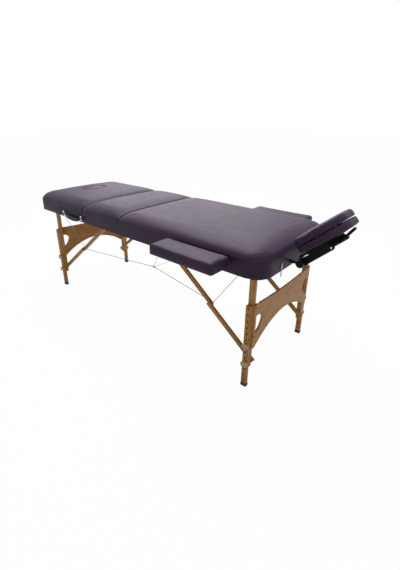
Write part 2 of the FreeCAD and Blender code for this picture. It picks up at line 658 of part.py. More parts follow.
def strut(name, end, side, upper):
    """A strut on its slant; the upper one hangs from the frame and carries the knuckle bolt."""
    thick = across(side, UPPER_STRUT_INNER, "%s + strut_thick" % UPPER_STRUT_INNER) if upper else \
        across(side, LOWER_STRUT_INNER, "%s + strut_thick" % LOWER_STRUT_INNER)
    length, before = (UPPER_STRUT, "strut_lap") if upper else (LOWER_STRUT, "strut_tail")
    slope = "atan2(%s; strut_reach)" % STRUT_DROP
    rise, run = "%s / %s" % (STRUT_DROP, STRUT_LINE), "strut_reach / %s" % STRUT_LINE
    pivot_x = "%d * %s" % (end, strut_pivot(end) if upper else "(%s)" % LEG_PLACE[end])
    pivot_z = "pivot_height" if upper else "strut_foot"
    # The bar points from its pivot to the knuckle: an upper strut down and outwards, a lower one up and inwards.
    outward = end if upper else -end
    downward = 1 if upper else -1
    bar = doc.addObject("Part::Box", name + "_bar")
    bar.setExpression("Length", bind("%s + %s + %s" % (length, before, "0" if upper else "strut_lap")))
    bar.setExpression("Width", bind("strut_thick"))
    bar.setExpression("Height", bind("strut_width"))
    bar.Placement = FreeCAD.Placement(Vector(), FreeCAD.Rotation(Vector(0, 1, 0), 1))
    turn = "%d * %s" % (downward * outward, slope) + ("" if outward > 0 else " + 180 deg")
    bar.setExpression("Placement.Rotation.Angle", bind(turn))
    # The pivot lies on the bar's centre line, one lap inside its first end.
    side_x = "%d * strut_width / 2 * %s" % (downward * outward, rise)
    side_z = "%d * strut_width / 2 * %s" % (outward, run)
    place(bar, "%s - %d * (%s) * %s - (%s) * %d" % (pivot_x, outward, before, run, side_x, outward),
          thick[0],
          "%s + %d * (%s) * %s - (%s)" % (pivot_z, downward, before, rise, side_z))
    bore = rod(name + "_bore", "y", "pin_radius + pin_play", (pivot_x, thick[0], pivot_z), "strut_thick")
    bored = cut(name + "_bored", bar, [bore])
    if not upper:
        return bored
    knuckle_x, knuckle_z = knuckle(end)
    nose = rod(name + "_nose", "y", "strut_width / 2", (knuckle_x, thick[0], knuckle_z), "strut_thick")
    post_span = across(side, "%s - knuckle_post" % UPPER_STRUT_INNER, UPPER_STRUT_INNER)
    post = rod(name + "_knuckle", "y", "pin_radius", (knuckle_x, post_span[0], knuckle_z), "knuckle_post")
    return fuse(name, [bored, nose, post])


def leg_set(letter, end):
    """One pair of legs with its panel, knobs, feet and struts."""
    node(letter + "_legs", group(letter + "_leg_pair", [upper_leg("%s_leg_%s" % (letter, name), end, side)
                                                       for name, side in SIDES]))
    for name, side in SIDES:
        node("%s_%s_extension" % (letter, name), extension_leg("%s_extension_%s" % (letter, name), end, side))
        node("%s_%s_foot" % (letter, name), rubber_foot("%s_foot_%s" % (letter, name), end, side))
        node("%s_%s_upper_strut" % (letter, name), strut("%s_upper_%s" % (letter, name), end, side, True))
        node("%s_%s_lower_strut" % (letter, name), strut("%s_lower_%s" % (letter, name), end, side, False))
    node(letter + "_end_panel", end_panel(letter + "_panel", end))
    node(letter + "_clamp_knobs", clamp_knobs(letter, end))


def fittings(letter, end):
    """Leg pivot bolts with spacers, strut pins, cable eyes and the studs of a half."""
    x = "%d * (%s)" % (end, LEG_PLACE[end])
    pieces = []
    for name, side in SIDES:
        tag = "%s_fit_%s" % (letter, name)
        head_span = across(side, "%s - lap_gap - bolt_head_thick" % LEG_INNER, "%s - lap_gap" % LEG_INNER)
        relief = "%d * corner_relief" % max(end, 0)
        bolt_end, spacer_end = "%s - %s" % (RAIL_INNER, relief), "%s - 2 * %s" % (RAIL_INNER, relief)
        bolt_span = across(side, "%s - lap_gap" % LEG_INNER, bolt_end)
        spacer_span = across(side, "leg_outer - leg_thick", spacer_end)
        head = rod(tag + "_head", "y", "bolt_head_radius", (x, head_span[0], "pivot_height"), "bolt_head_thick")
        bolt = rod(tag + "_bolt", "y", "pin_radius", (x, bolt_span[0], "pivot_height"),
                   "(%s) - (%s - lap_gap)" % (bolt_end, LEG_INNER))
        spacer = rod(tag + "_spacer", "y", "spacer_radius", (x, spacer_span[0], "pivot_height"),
                     "(%s) - (leg_outer - leg_thick)" % spacer_end)
        pieces.append(fuse(tag + "_pivot", [head, bolt, spacer]))
        pivot = "%d * %s" % (end, strut_pivot(end))
        pin_span = across(side, BLOCK_FACE, "%s + strut_thick" % UPPER_STRUT_INNER)
        pieces.append(rod(tag + "_pin", "y", "pin_radius", (pivot, pin_span[0], "pivot_height"),
                          "strut_thick + lap_gap"))
        eye_span = across(side, "%s - 2 * eye_radius" % RAIL_INNER, RAIL_INNER)
        pieces.append(rod(tag + "_eye", "y", "eye_radius",
                          (eye_place(end), eye_span[0], "anchor_height"),
                          "2 * eye_radius"))
    return pieces


def hardware():
    """Fittings of both halves with the handle's loops, the latch studs and the stay eyes."""
    left = fittings("a", -1)
    for label, sign in (("left", -1), ("right", 1)):
        low, high = ("handle_span / 2 + 6", "handle_span / 2 + 11")
        span = across(sign, low, high)
        lug = box("handle_lug_" + label, ("%s - handle_middle" % span[0], "%s - handle_middle" % span[1]),
                  ("-table_width / 2 - handle_out - handle_wire", "-table_width / 2"),
                  ("handle_height - 7", "handle_height + 7"))
        span = across(sign, "handle_span / 2 - handle_wire", low)
        pin = rod("handle_pin_" + label, "x", "handle_wire",
                  ("%s - handle_middle" % span[0], "handle_wire - table_width / 2 - handle_out", "handle_height"),
                  "handle_wire + 6")
        left.append(fuse("handle_loop_" + label, [lug, pin]))
    node("a_fittings", group("a_fitting_set", left))
    right = fittings("b", 1)
    for name, side in SIDES:
        right.append(rod("latch_stud_" + name, "x", "pin_radius",
                         ("half_length", "%d * latch_spread" % side, "latch_height"),
                         "latch_thick + 2 * lap_gap"))
        right.append(rod("stay_eye_" + name, "z", "eye_radius",
                         ("stay_anchor", "%d * (%s)" % (side, CABLE_PLANE), "anchor_height"),
                         "%s - anchor_height" % RAIL_TOP))
    node("b_fittings", group("b_fitting_set", right))


def tube(start, end, radius):
    """A straight round bar between two points."""
    way = end.sub(start)
    return Part.makeCylinder(radius, way.Length, start, way)


def brace_cables():
    """On each side: the cable from knuckle to knuckle through its ring, two stays and an end cable per half."""
    radius, stay, clear = number("cable_radius"), number("stay_radius"), number("pin_radius + lap_gap")
    plane, ring = number(CABLE_PLANE), Vector(number("ring_x"), 0, number("ring_height"))
    solids = []
    for name, side in SIDES:
        y = side * plane
        centre = Vector(ring.x, y, ring.z)
        half = number("ring_radius")
        solids.append(Part.makeCylinder(half, 4 * half, Vector(ring.x - 2 * half, y, ring.z), Vector(1, 0, 0)))
        for end in (-1, 1):
            spot = Vector(number(knuckle(end)[0]), y, number(knuckle(end)[1]))
            way = spot.sub(centre).normalize()
            solids.append(tube(centre.add(way * 2.2 * half), spot.sub(way * clear), radius))
            eye = Vector(number(eye_place(end)),
                         side * number("%s - eye_radius" % RAIL_INNER), number("anchor_height"))
            start = Vector(spot.x, y - side * radius / 2, spot.z)
            way = eye.sub(start).normalize()
            reach = number("eye_radius + 3 * lap_gap")
            solids.append(tube(start.add(way * (clear + 0.5)), eye.sub(way * reach), radius))
        block = Vector(number(strut_pivot(1)), y, number("frame_bottom + 5"))
        eye = Vector(number("stay_anchor"), y, number("anchor_height"))
        for target, gap in ((block, "2 * lap_gap"), (eye, "3 * lap_gap + eye_radius / 2")):
            way = target.sub(centre).normalize()
            solids.append(tube(centre.add(way * 1.9 * half), target.sub(way * number(gap)), stay))
    made = doc.addObject("Part::Feature", "cables")
    made.Shape = Part.makeCompound(solids)
    made.setExpression("Placement.Base.x", bind("fold_x"))
    node("brace_cables", made)


def fold_hinges():
    """Two butt hinges under the fold rails; the right leaves carry the pins."""
    axis_z = "(frame_bottom - hinge_radius)"
    left, right = [], []
    for name, side in SIDES:
        middle = "%d * hinge_spread" % side
        third = "hinge_length / 6"
        ends = ("%s - hinge_length / 2" % middle, "%s + hinge_length / 2" % middle)
        inner = ("%s - %s" % (middle, third), "%s + %s" % (middle, third))
        leaf_z = ("frame_bottom - hinge_leaf", "frame_bottom")
        leaf_a = box("fold_leaf_a_" + name, ("-hinge_reach", "-hinge_radius - lap_gap"), ends, leaf_z)
        leaf_b = box("fold_leaf_b_" + name, ("hinge_radius + lap_gap", "hinge_reach"), ends, leaf_z)
        bridge_a = box("fold_bridge_a_" + name, ("-hinge_radius - lap_gap - 1", "0"), inner, leaf_z)
        barrel_a = rod("fold_barrel_a_" + name, "y", "hinge_radius", ("0", inner[0], axis_z), "2 * " + third)
        bore = rod("fold_bore_" + name, "y", "hinge_radius / 2 + pin_play", ("0", inner[0], axis_z), "2 * " + third)
        left.append(cut("fold_a_" + name, fuse("fold_a_body_" + name, [leaf_a, bridge_a, barrel_a]), [bore]))
        pieces = [leaf_b, rod("fold_pin_" + name, "y", "hinge_radius / 2", ("0", ends[0], axis_z), "hinge_length")]
        for tag, (low, high) in (("low", (ends[0], inner[0] + " - lap_gap")),
                                 ("high", (inner[1] + " + lap_gap", ends[1]))):
            span = "(%s) - (%s)" % (high, low)
            pieces.append(rod("fold_barrel_b_%s_%s" % (tag, name), "y", "hinge_radius", ("0", low, axis_z), span))
            pieces.append(box("fold_bridge_b_%s_%s" % (tag, name), ("0", "hinge_radius + lap_gap + 1"),
                              (low, high), leaf_z))
        right.append(fuse("fold_b_" + name, pieces))
    node("fold_hinge_a_leaves", group("fold_hinge_a", left))
    node("fold_hinge_b_leaves", group("fold_hinge_b", right))


def back_lift():
    """The leather welt in the seam that the back turns on, and the back's prop."""
    node("back_seam_welt", rod("seam_welt", "y", "welt_radius",
                               ("-middle_length", "2 * edge_roll - table_width / 2", "welt_height"),
                               "table_width - 4 * edge_roll"))
    foot = PROP_PIVOT + " - prop_length"
    arms = [rod("prop_arm_" + name, "x", "0.9 * prop_rod", (foot, "%d * prop_half_width" % side, PROP_HEIGHT),
                "prop_length") for name, side in SIDES]
    bars = [rod("prop_bar_" + label, "y", "prop_rod", (x, "-prop_half_width - prop_rod", PROP_HEIGHT),
                "2 * prop_half_width + 2 * prop_rod") for label, x in (("pivot", PROP_PIVOT), ("foot", foot))]
    node("back_prop", fuse("prop", arms + bars))


def armrest(name, side):
    """A side armrest: upholstered pad on a board with two rods."""
    x0, x1 = number("armrest_start"), number("armrest_start + armrest_length")
    inner = number("table_width / 2 + armrest_gap")
    outer = inner + number("armrest_width")
    middle, width = side * (inner + outer) / 2, outer - inner
    bottom, top, roll = number("armrest_board + armrest_board_thick"), number("armrest_top"), number("armrest_roll")
    sections = []
    for height, inset in ((bottom, 1.0), (bottom + 0.4 * (top - bottom), 2.0), (top - roll - 2, 0.0),
                          (top - 0.45 * roll - 2, 0.16 * roll), (top - 2, roll), (top, 4 * roll)):
        edges = rounded_edges((x0 + inset, x1 - inset), (middle - width / 2 + inset, middle + width / 2 - inset),
                              (12, 12))
        sections.append(section(edges, height))
    node(name + "_armrest_pad", loft(name + "_pad", sections))
    span = across(side, "table_width / 2 + armrest_gap + armrest_inset",
                  "table_width / 2 + armrest_gap + armrest_width - armrest_inset")
    board = box(name + "_board", ("armrest_start + armrest_inset", "armrest_start + armrest_length - armrest_inset"),
                span, ("armrest_board", "armrest_board + armrest_board_thick"))
    rod_span = across(side, "%s + lap_gap" % RAIL_INNER, "table_width / 2 + armrest_gap + armrest_width * 0.8")
    rods = [rod("%s_rod_%d" % (name, index), "y", "armrest_rod",
                (start, rod_span[0], "armrest_board - armrest_rod"),
                "armrest_gap + armrest_width * 0.8 + wrap_thick + rail_thick - lap_gap")
            for index, start in enumerate(ARMREST_RODS)]
    node(name + "_armrest_base", group(name + "_base", [board] + rods))


HEAD_BOARD_LOW = "head_hub + 13"
HEAD_PAD_LOW = HEAD_BOARD_LOW + " + head_board"


def horseshoe(name, low, thick, inset_profile):
    """A horseshoe pad in the headrest's own frame, opening towards the table."""
    start, stop = number("head_start"), number("head_start + head_length")
    half, corner = number("head_width") / 2, number("head_corner")
    mouth, depth = number("head_mouth") / 2, number("head_mouth_depth")
    sections = []
    for height, inset in inset_profile:
        x0, x1, w = start + inset, stop - inset, half - inset
        m = mouth + inset
        bend = start + depth - mouth
        big, small = corner - inset, 12.0
        k_big, k_small = big * (1 - DIAGONAL), small * (1 - DIAGONAL)
        edges = [
            line((x0 + small, -w), (x1 - big, -w)),
            arc((x1 - big, -w), (x1 - k_big, -w + k_big), (x1, -w + big)),
            line((x1, -w + big), (x1, w - big)),
            arc((x1, w - big), (x1 - k_big, w - k_big), (x1 - big, w)),
            line((x1 - big, w), (x0 + small, w)),
            arc((x0 + small, w), (x0 + k_small, w - k_small), (x0, w - small)),
            line((x0, w - small), (x0, m + small)),
            arc((x0, m + small), (x0 + k_small, m + k_small), (x0 + small, m)),
            line((x0 + small, m), (bend, m)),
            arc((bend, m), (bend + m * DIAGONAL, m * DIAGONAL), (bend + m, 0)),
            arc((bend + m, 0), (bend + m * DIAGONAL, -m * DIAGONAL), (bend, -m)),
            line((bend, -m), (x0 + small, -m)),
            arc((x0 + small, -m), (x0 + k_small, -m - k_small), (x0, -m - small)),
            line((x0, -m - small), (x0, -w + small)),
            arc((x0, -w + small), (x0 + k_small, -w + k_small), (x0 + small, -w)),
        ]
        sections.append(section(edges, low + height * thick))
    return loft(name, sections)


def tilted(shape_object):
    """Sets a piece of the headrest at its pivot and tilt."""
    shape_object.Placement = FreeCAD.Placement(Vector(), FreeCAD.Rotation(Vector(0, 1, 0), -1))
    place(shape_object, "half_length + head_pivot_out + fold_x", "0", "head_pivot_height")
    shape_object.setExpression("Placement.Rotation.Angle", bind("-head_tilt"))
    return shape_object


def headrest():
    """Rods, yoke, tilting frame, pads, hook strips and lever."""
    pivot_x, pivot_z = "half_length + head_pivot_out", "head_pivot_height"
    rods = [rod("head_rod_" + name, "x", "head_rod",
                ("half_length - head_rod_inner", "%d * head_rod_spread" % side, "head_rod_height"),
                "head_rod_inner + head_pivot_out - head_hub * 0.6") for name, side in SIDES]
    bar = rod("yoke_bar", "y", "head_rod", (pivot_x, "-head_rod_spread", pivot_z), "2 * head_rod_spread")
    inner, outer = "head_arm_spread + head_arm_thick + lap_gap", "head_rod_spread + head_wall"
    hubs = [rod("yoke_hub_" + name, "y", "head_hub", (pivot_x, across(side, inner, outer)[0], pivot_z),
                "%s - (%s)" % (outer, inner)) for name, side in SIDES]
    sleeves = [rod("yoke_bore_" + name, "x", "head_rod + pin_play",
                   ("half_length", "%d * head_rod_spread" % side, "head_rod_height"),
                   "head_pivot_out - head_hub * 0.6") for name, side in SIDES]
    node("headrest_rods", group("head_rods", rods))
    node("headrest_yoke", cut("yoke", fuse("yoke_body", [bar] + hubs), sleeves))

    datum["x"] = "0"
    arms = []
    for name, side in SIDES:
        low = across(side, "head_arm_spread", "head_arm_spread + head_arm_thick")[0]
        length, rise, end = number("head_arm_length"), number("head_arm_rise"), number("head_arm_end")
        hub, top = number("head_hub"), number(HEAD_BOARD_LOW) + 1
        outline = [
            line((0, hub), (10, top)),
            line((10, top), (length - end, top)),
            line((length - end, top), (length + end, rise)),
            arc((length + end, rise), (length + end * DIAGONAL, rise - end * DIAGONAL), (length, rise - end)),
            line((length, rise - end), (0, -hub)),
            arc((0, -hub), (-hub, 0), (0, hub)),
        ]
        arm = extrude("head_arm_" + name, outline, "xz", "head_arm_thick")
        arm.setExpression("Placement.Base.y", bind("(%s) + head_arm_thick" % low))
        bore = rod("head_arm_bore_" + name, "y", "head_rod + pin_play", ("0", low, "0"), "head_arm_thick")
        arms.append(cut("head_arm_bored_" + name, arm, [bore]))
    board_low = HEAD_BOARD_LOW
    board = box("head_board_plate", ("head_start + 14", "head_start + head_length - 40"),
                ("30 - head_width / 2", "head_width / 2 - 30"),
                (board_low, board_low + " + head_board"))
    face_gap = rod("head_board_hole", "z", "head_mouth / 2", ("head_start + head_mouth_depth - head_mouth / 2", "0",
                                                            board_low), "head_board")
    face_slot = box("head_board_slot", ("head_start + 10", "head_start + head_mouth_depth - head_mouth / 2"),
                    ("-head_mouth / 2", "head_mouth / 2"), (board_low, board_low + " + head_board"))
    plate = cut("head_plate", board, [face_gap, face_slot])
    pivot, middle = "head_arm_length", "head_arm_rise"
    outer = "head_arm_spread + head_arm_thick"
    pin = rod("lever_pin", "y", "stud_radius", (pivot, "-(%s)" % outer, middle), "2 * (%s)" % outer)
    node("headrest_tilt_frame", tilted(fuse("head_frame", arms + [plate, pin])))

    low = number(HEAD_PAD_LOW)
    roll = number("head_roll")
    base_thick, face_thick, strip = number("head_base"), number("head_face"), number("head_strip")
    base_profile = ((0, 2.0), (0.3, 0.0), (0.7, 0.0), (1, 2.5))
    face_profile = ((0, 2.0), (0.25, 0.0), (0.55, 0.0), (0.8, 0.25 * roll), (0.94, 0.65 * roll), (1, 1.5 * roll))
    for label, start, thick, profile in (("headrest_base_pad", low, base_thick, base_profile),
                                         ("headrest_face_pad", low + base_thick + strip, face_thick, face_profile)):
        node(label, tilted(horseshoe(label + "_loft", start, thick, profile)))
    strip_low = HEAD_PAD_LOW + " + head_base"
    strip_z = (strip_low, strip_low + " + head_strip")
    strips = []
    for name, side in SIDES:
        tip = box("head_strip_tip_" + name, ("head_start + 3", "head_start + 3 + head_strip_length"),
                  across(side, "head_mouth / 2 + 2", "head_width / 2 - 5"), strip_z)
        edge = box("head_strip_edge_" + name, ("head_start + 3", "head_start + 3 + 1.7 * head_strip_length"),
                   across(side, "head_mouth / 2 + 2", "head_mouth / 2 + 2 + head_strip_width"), strip_z)
        strips.append(fuse("head_strip_" + name, [tip, edge]))
    node("headrest_hook_strips", tilted(group("head_strips", strips)))
    start, reach, tall = number(pivot), number("lever_length"), number("lever_height") / 2
    height, rise = number(middle), 0.26 * number("lever_length")
    outline = [
        line((start, height + tall), (start + reach, height + tall + rise)),
        arc((start + reach, height + tall + rise), (start + reach + tall, height + rise),
            (start + reach, height - tall + rise)),
        line((start + reach, height - tall + rise), (start, height - tall)),
        arc((start, height - tall), (start - tall, height), (start, height + tall)),
    ]
    lever = extrude("lever_body", outline, "xz", "lever_thick")
    lever.setExpression("Placement.Base.y", bind("lever_thick / 2"))
    bore = rod("lever_bore", "y", "stud_radius + pin_play", (pivot, "-lever_thick / 2", middle), "lever_thick")
    node("headrest_lever", tilted(cut("lever", lever, [bore])))
    datum["x"] = "fold_x"


def latches():
    """Two hanging latch hooks on the right end."""
    face = "half_length + lap_gap"
    for name, side in SIDES:
        middle = "%d * latch_spread" % side
        plate = box("latch_plate_" + name, (face, face + " + latch_thick"),
                    ("%s - latch_width / 2" % middle, "%s + latch_width / 2" % middle),
                    ("latch_height - latch_length + latch_width", "latch_height"))
        top = rod("latch_top_" + name, "x", "latch_width / 2", (face, middle, "latch_height"), "latch_thick")
        bore = rod("latch_bore_" + name, "x", "pin_radius + pin_play", (face, middle, "latch_height"), "latch_thick")
        window = box("latch_window_" + name, (face, face + " + latch_thick"),
                     ("%s - latch_width / 5" % middle, "%s + latch_width / 5" % middle),
                     ("latch_height - latch_length + latch_width * 1.4", "latch_height - latch_width"))
        node(name + "_latch", cut("latch_" + name, fuse("latch_body_" + name, [plate, top]), [bore, window]))


def carry_handle():
    """The padded grip hanging from two wire arms."""
    y = "-table_width / 2 - handle_out + handle_wire"
    low_z = "handle_height - handle_drop"
    grip = rod("grip", "x", "handle_grip",
               ("-handle_middle - handle_span / 2 + 3 * handle_grip", y, low_z), "handle_span - 6 * handle_grip")
    spine = rod("grip_spine", "x", "handle_wire", ("-handle_middle - handle_span / 2", y, low_z), "handle_span")
    arms, bores = [], []
    for label, sign in (("left", -1), ("right", 1)):
        x = "%d * handle_span / 2 - handle_middle" % sign
        arms.append(rod("grip_arm_" + label, "z", "0.8 * handle_wire", (x, y, low_z), "handle_drop"))
        ring = rod("grip_ring_" + label, "x", "2.4 * handle_wire", (x + " - handle_wire", y, "handle_height"),
                   "2 * handle_wire")
        arms.append(ring)
        bores.append(rod("grip_bore_" + label, "x", "handle_wire + pin_play",
                         (x + " - handle_wire", y, "handle_height"), "2 * handle_wire"))
    node("carry_handle", cut("handle", fuse("handle_body", [grip, spine] + arms), bores))


frame()
tops()
leg_set("a", -1)
leg_set("b", 1)
hardware()
brace_cables()
fold_hinges()
back_lift()
for armrest_name, armrest_side in SIDES:
    armrest(armrest_name, armrest_side)
headrest()
latches()
carry_handle()

doc.recompute()
for made_object in doc.Objects:
    if {"Invalid", "Error"} & set(made_object.State):
        raise RuntimeError("%s failed: %s" % (made_object.Name, made_object.State))
for sub_part in nodes:
    if sub_part.Shape.isNull() or not sub_part.Shape.isValid() or not sub_part.Shape.Solids:
        raise RuntimeError("%s has no valid solid" % sub_part.Label)

os.makedirs("parts", exist_ok=True)
for sub_part in nodes:
    sub_part.Shape.exportStep(os.path.join("parts", sub_part.Label + ".step"))
print("%d sub-parts written" % len(nodes))
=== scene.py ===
import math

import bpy
from mathutils import Matrix, Vector


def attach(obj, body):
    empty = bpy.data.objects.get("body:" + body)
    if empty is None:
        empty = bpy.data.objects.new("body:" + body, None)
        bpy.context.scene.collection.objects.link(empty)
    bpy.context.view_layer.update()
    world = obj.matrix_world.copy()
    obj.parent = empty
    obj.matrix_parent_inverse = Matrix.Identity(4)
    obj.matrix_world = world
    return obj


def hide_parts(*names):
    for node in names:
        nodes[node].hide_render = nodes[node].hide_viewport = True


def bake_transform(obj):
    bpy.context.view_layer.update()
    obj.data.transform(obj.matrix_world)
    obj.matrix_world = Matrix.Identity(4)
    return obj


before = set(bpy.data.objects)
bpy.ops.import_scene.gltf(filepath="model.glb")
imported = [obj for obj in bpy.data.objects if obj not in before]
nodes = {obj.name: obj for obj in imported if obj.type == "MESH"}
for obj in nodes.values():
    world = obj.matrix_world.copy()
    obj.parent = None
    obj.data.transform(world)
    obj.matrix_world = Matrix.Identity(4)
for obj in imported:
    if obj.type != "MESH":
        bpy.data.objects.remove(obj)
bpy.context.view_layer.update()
foldX = -0.110766                    # fold line of the top in the row frame, m
hair = 0.0005                        # points closer than this count as one place, m
bothSides = ((-1, "near"), (1, "far"))
legLines = {"a": -787, "b": 856}     # middle of the legs at each end, mm
white = (1, 1, 1, 1)


def mm(x, y, z):
    return Vector((x / 1000 + foldX, y / 1000, z / 1000))   # measured from the fold line and the floor


def srgb(code):
    parts = [int(code[i:i + 2], 16) / 255 for i in (1, 3, 5)]
    linear = [v / 12.92 if v <= 0.04045 else ((v + 0.055) / 1.055) ** 2.4 for v in parts]
    return (*linear, 1.0)


def addNode(tree, kind, settings=None, links=None):
    made = tree.nodes.new(kind)
    plain = [key for key in settings or {} if not isinstance(key, int) and key not in made.inputs.keys()]
    for key in plain:
        setattr(made, key, settings[key])
    for key, value in (settings or {}).items():
        if key not in plain:
            made.inputs[key].default_value = value
    for key, source in (links or {}).items():
        tree.links.new(source, made.inputs[key])
    return made


def mathNode(tree, operation, first, second=0.0):
    return addNode(tree, "ShaderNodeMath", {"operation": operation, 1: second}, {0: first}).outputs["Value"]


def newMaterial(name, settings):
    material = bpy.data.materials.new(name)
    material.use_nodes = True
    tree = material.node_tree
    tree.nodes.clear()
    shader = addNode(tree, "ShaderNodeBsdfPrincipled", settings)
    addNode(tree, "ShaderNodeOutputMaterial", links={"Surface": shader.outputs["BSDF"]})
    return material, tree, shader


def setRamp(ramp, stops):
    elements = ramp.color_ramp.elements
    while len(elements) < len(stops):
        elements.new(0.5)
    for element, (place, color) in zip(elements, stops):
        element.position = place
        element.color = color


def clearSelection():
    if bpy.context.object and bpy.context.object.mode != "OBJECT":
        bpy.ops.object.mode_set(mode="OBJECT")
    bpy.ops.object.select_all(action="DESELECT")


def pick(obj):
    clearSelection()
    obj.select_set(True)
    bpy.context.view_layer.objects.active = obj


def settle(obj, name):
    pick(obj)                        # place, turn and scale go into the mesh
    bpy.ops.object.transform_apply(location=True, rotation=True, scale=True)
    obj.name = name
    obj.data.name = name
    return obj


def editWhere(obj, kind, test):
    pick(obj)                        # edit mode, with the parts that pass the test selected
    bpy.context.tool_settings.mesh_select_mode = (kind == "VERT", kind == "EDGE", kind == "FACE")
    data = obj.data
    for group in (data.vertices, data.edges, data.polygons):
        group.foreach_set("select", [False] * len(group))
    if kind == "EDGE":
        for edge in data.edges:
            edge.select = test(*[data.vertices[i].co for i in edge.vertices])
    else:
        for item in data.vertices if kind == "VERT" else data.polygons:
            item.select = test(item.co if kind == "VERT" else item)
    bpy.ops.object.mode_set(mode="EDIT")


def leaveEdit():
    bpy.ops.object.mode_set(mode="OBJECT")


def insetFaces(steps):
    for width, depth in steps:       # mm, on the faces selected in edit mode
        bpy.ops.mesh.inset(thickness=width / 1000, depth=depth / 1000)


def applyModifiers(obj):
    pick(obj)
    for modifier in list(obj.modifiers):
        bpy.ops.object.modifier_apply(modifier=modifier.name)


def roundEdges(obj, width, segments=3, limit=40):
    made = obj.modifiers.new("edge", "BEVEL")
    made.width = width
    made.segments = segments
    made.limit_method = "ANGLE"
    made.angle_limit = math.radians(limit)
    applyModifiers(obj)


def carve(obj, tool):
    made = obj.modifiers.new("carve", "BOOLEAN")
    made.operation = "DIFFERENCE"
    made.solver = "EXACT"
    made.object = tool
    applyModifiers(obj)
    bpy.data.objects.remove(tool)


def smoothAngle(obj, degrees):
    pick(obj)
    bpy.ops.object.shade_smooth_by_angle(angle=math.radians(degrees))


def joinAll(name, objs):
    clearSelection()
    for obj in objs:
        obj.select_set(True)
    bpy.context.view_layer.objects.active = objs[0]
    bpy.ops.object.join()
    objs[0].name = name
    objs[0].data.name = name
    return objs[0]


def copyMoved(obj, matrix, name):
    made = bpy.data.objects.new(name, obj.data.copy())
    made.data.name = name
    made.data.transform(matrix)
    bpy.context.scene.collection.objects.link(made)
    return made


def paint(obj, material):
    obj.data.materials.clear()
    obj.data.materials.append(material)


def dress(obj, material, body, replaced=(), angle=40):
    paint(obj, material)
    smoothAngle(obj, angle)
    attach(obj, body)
    if replaced:
        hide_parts(*replaced)
    return obj


def addBlock(name, low, high):
    clearSelection()
    bpy.ops.mesh.primitive_cube_add(size=1, location=[(a + b) / 2 for a, b in zip(low, high)])
    obj = bpy.context.object
    obj.scale = [b - a for a, b in zip(low, high)]
    return settle(obj, name)


def addRod(name, start, end, radius, sides=32):
    clearSelection()
    way = Vector(end) - Vector(start)
    bpy.ops.mesh.primitive_cylinder_add(vertices=sides, radius=radius, depth=way.length,
                                        location=(Vector(start) + Vector(end)) / 2)
    obj = bpy.context.object
    obj.rotation_mode = "QUATERNION"
    obj.rotation_quaternion = way.to_track_quat("Z", "Y")
    return settle(obj, name)


def tubeAlong(name, points, radius, sides=12, closed=False):
    curve = bpy.data.curves.new(name, "CURVE")
    curve.dimensions = "3D"
    curve.bevel_depth = radius
    curve.bevel_resolution = max(1, sides // 4)
    curve.use_fill_caps = True
    line = curve.splines.new("POLY")
    line.points.add(len(points) - 1)
    for knot, place in zip(line.points, points):
        knot.co = (*place, 1.0)
    line.use_cyclic_u = closed
    obj = bpy.data.objects.new(name, curve)
    bpy.context.scene.collection.objects.link(obj)
    pick(obj)
    bpy.ops.object.convert(target="MESH")
    obj = bpy.context.object
    obj.data.name = name
    return obj


# camera of the photograph, fitted to the feet, edges and seams
cameraSettings = {
    "place": (1523.1, -1427.8, 1211.2), "azimuth": 40.9, "pitch": 22.76, "roll": 0.21,
    "focalPixels": 339.8, "centre": (195.4, 258.9), "picture": (400, 570), "sensorMm": 36, "clipEnd": 60,
}


def addCamera(settings):
    width, height = settings["picture"]
    data = bpy.data.cameras.new("camera")
    data.sensor_width = settings["sensorMm"]
    data.lens = settings["sensorMm"] * settings["focalPixels"] / height
    data.shift_x = (width / 2 - settings["centre"][0]) / height
    data.shift_y = (settings["centre"][1] - height / 2) / height
    data.clip_end = settings["clipEnd"]
    obj = bpy.data.objects.new("camera", data)
    bpy.context.scene.collection.objects.link(obj)
    turn, dip = math.radians(settings["azimuth"]), math.radians(settings["pitch"])
    ahead = Vector((-math.sin(turn) * math.cos(dip), math.cos(turn) * math.cos(dip), -math.sin(dip)))
    lean = Matrix.Rotation(math.radians(settings["roll"]), 4, "Z").to_quaternion()
    obj.rotation_mode = "QUATERNION"
    obj.rotation_quaternion = ahead.to_track_quat("-Z", "Y") @ lean
    obj.location = mm(*settings["place"])
    bpy.context.scene.camera = obj


# each lamp: name, place and aim in m, power in W, width in m
lightSettings = {
    "world": 0.17, "floorGlow": 0.985, "floorSize": 50, "floorDrop": 0.0005, "floorTone": "#f4f4f4", "lamps": [
        ("topLamp", (-0.6, 0.6, 3.4), (-0.1, 0, 0.6), 112, 2.2),
        ("backLamp", (-2.7, 2.9, 2.6), (-0.3, 0, 0.7), 58, 3.4),
        ("frontLamp", (2.8, -2.4, 1.7), (0.4, 0, 0.3), 3, 1.6),
        ("rightLamp", (2.7, -1.2, 2.2), (0.7, -0.2, 0.55), 6, 1.0),
    ],
}


def backdropRay(tree):
    # 1 for the rays that show the background: straight, mirrored and through glass
    seen = addNode(tree, "ShaderNodeLightPath")
    sharp = addNode(tree, "ShaderNodeMath", {"operation": "MAXIMUM"},
                    {0: seen.outputs["Is Glossy Ray"], 1: seen.outputs["Is Transmission Ray"]})
    direct = addNode(tree, "ShaderNodeMath", {"operation": "MAXIMUM"},
                     {0: seen.outputs["Is Camera Ray"], 1: sharp.outputs["Value"]})
    return direct.outputs["Value"]


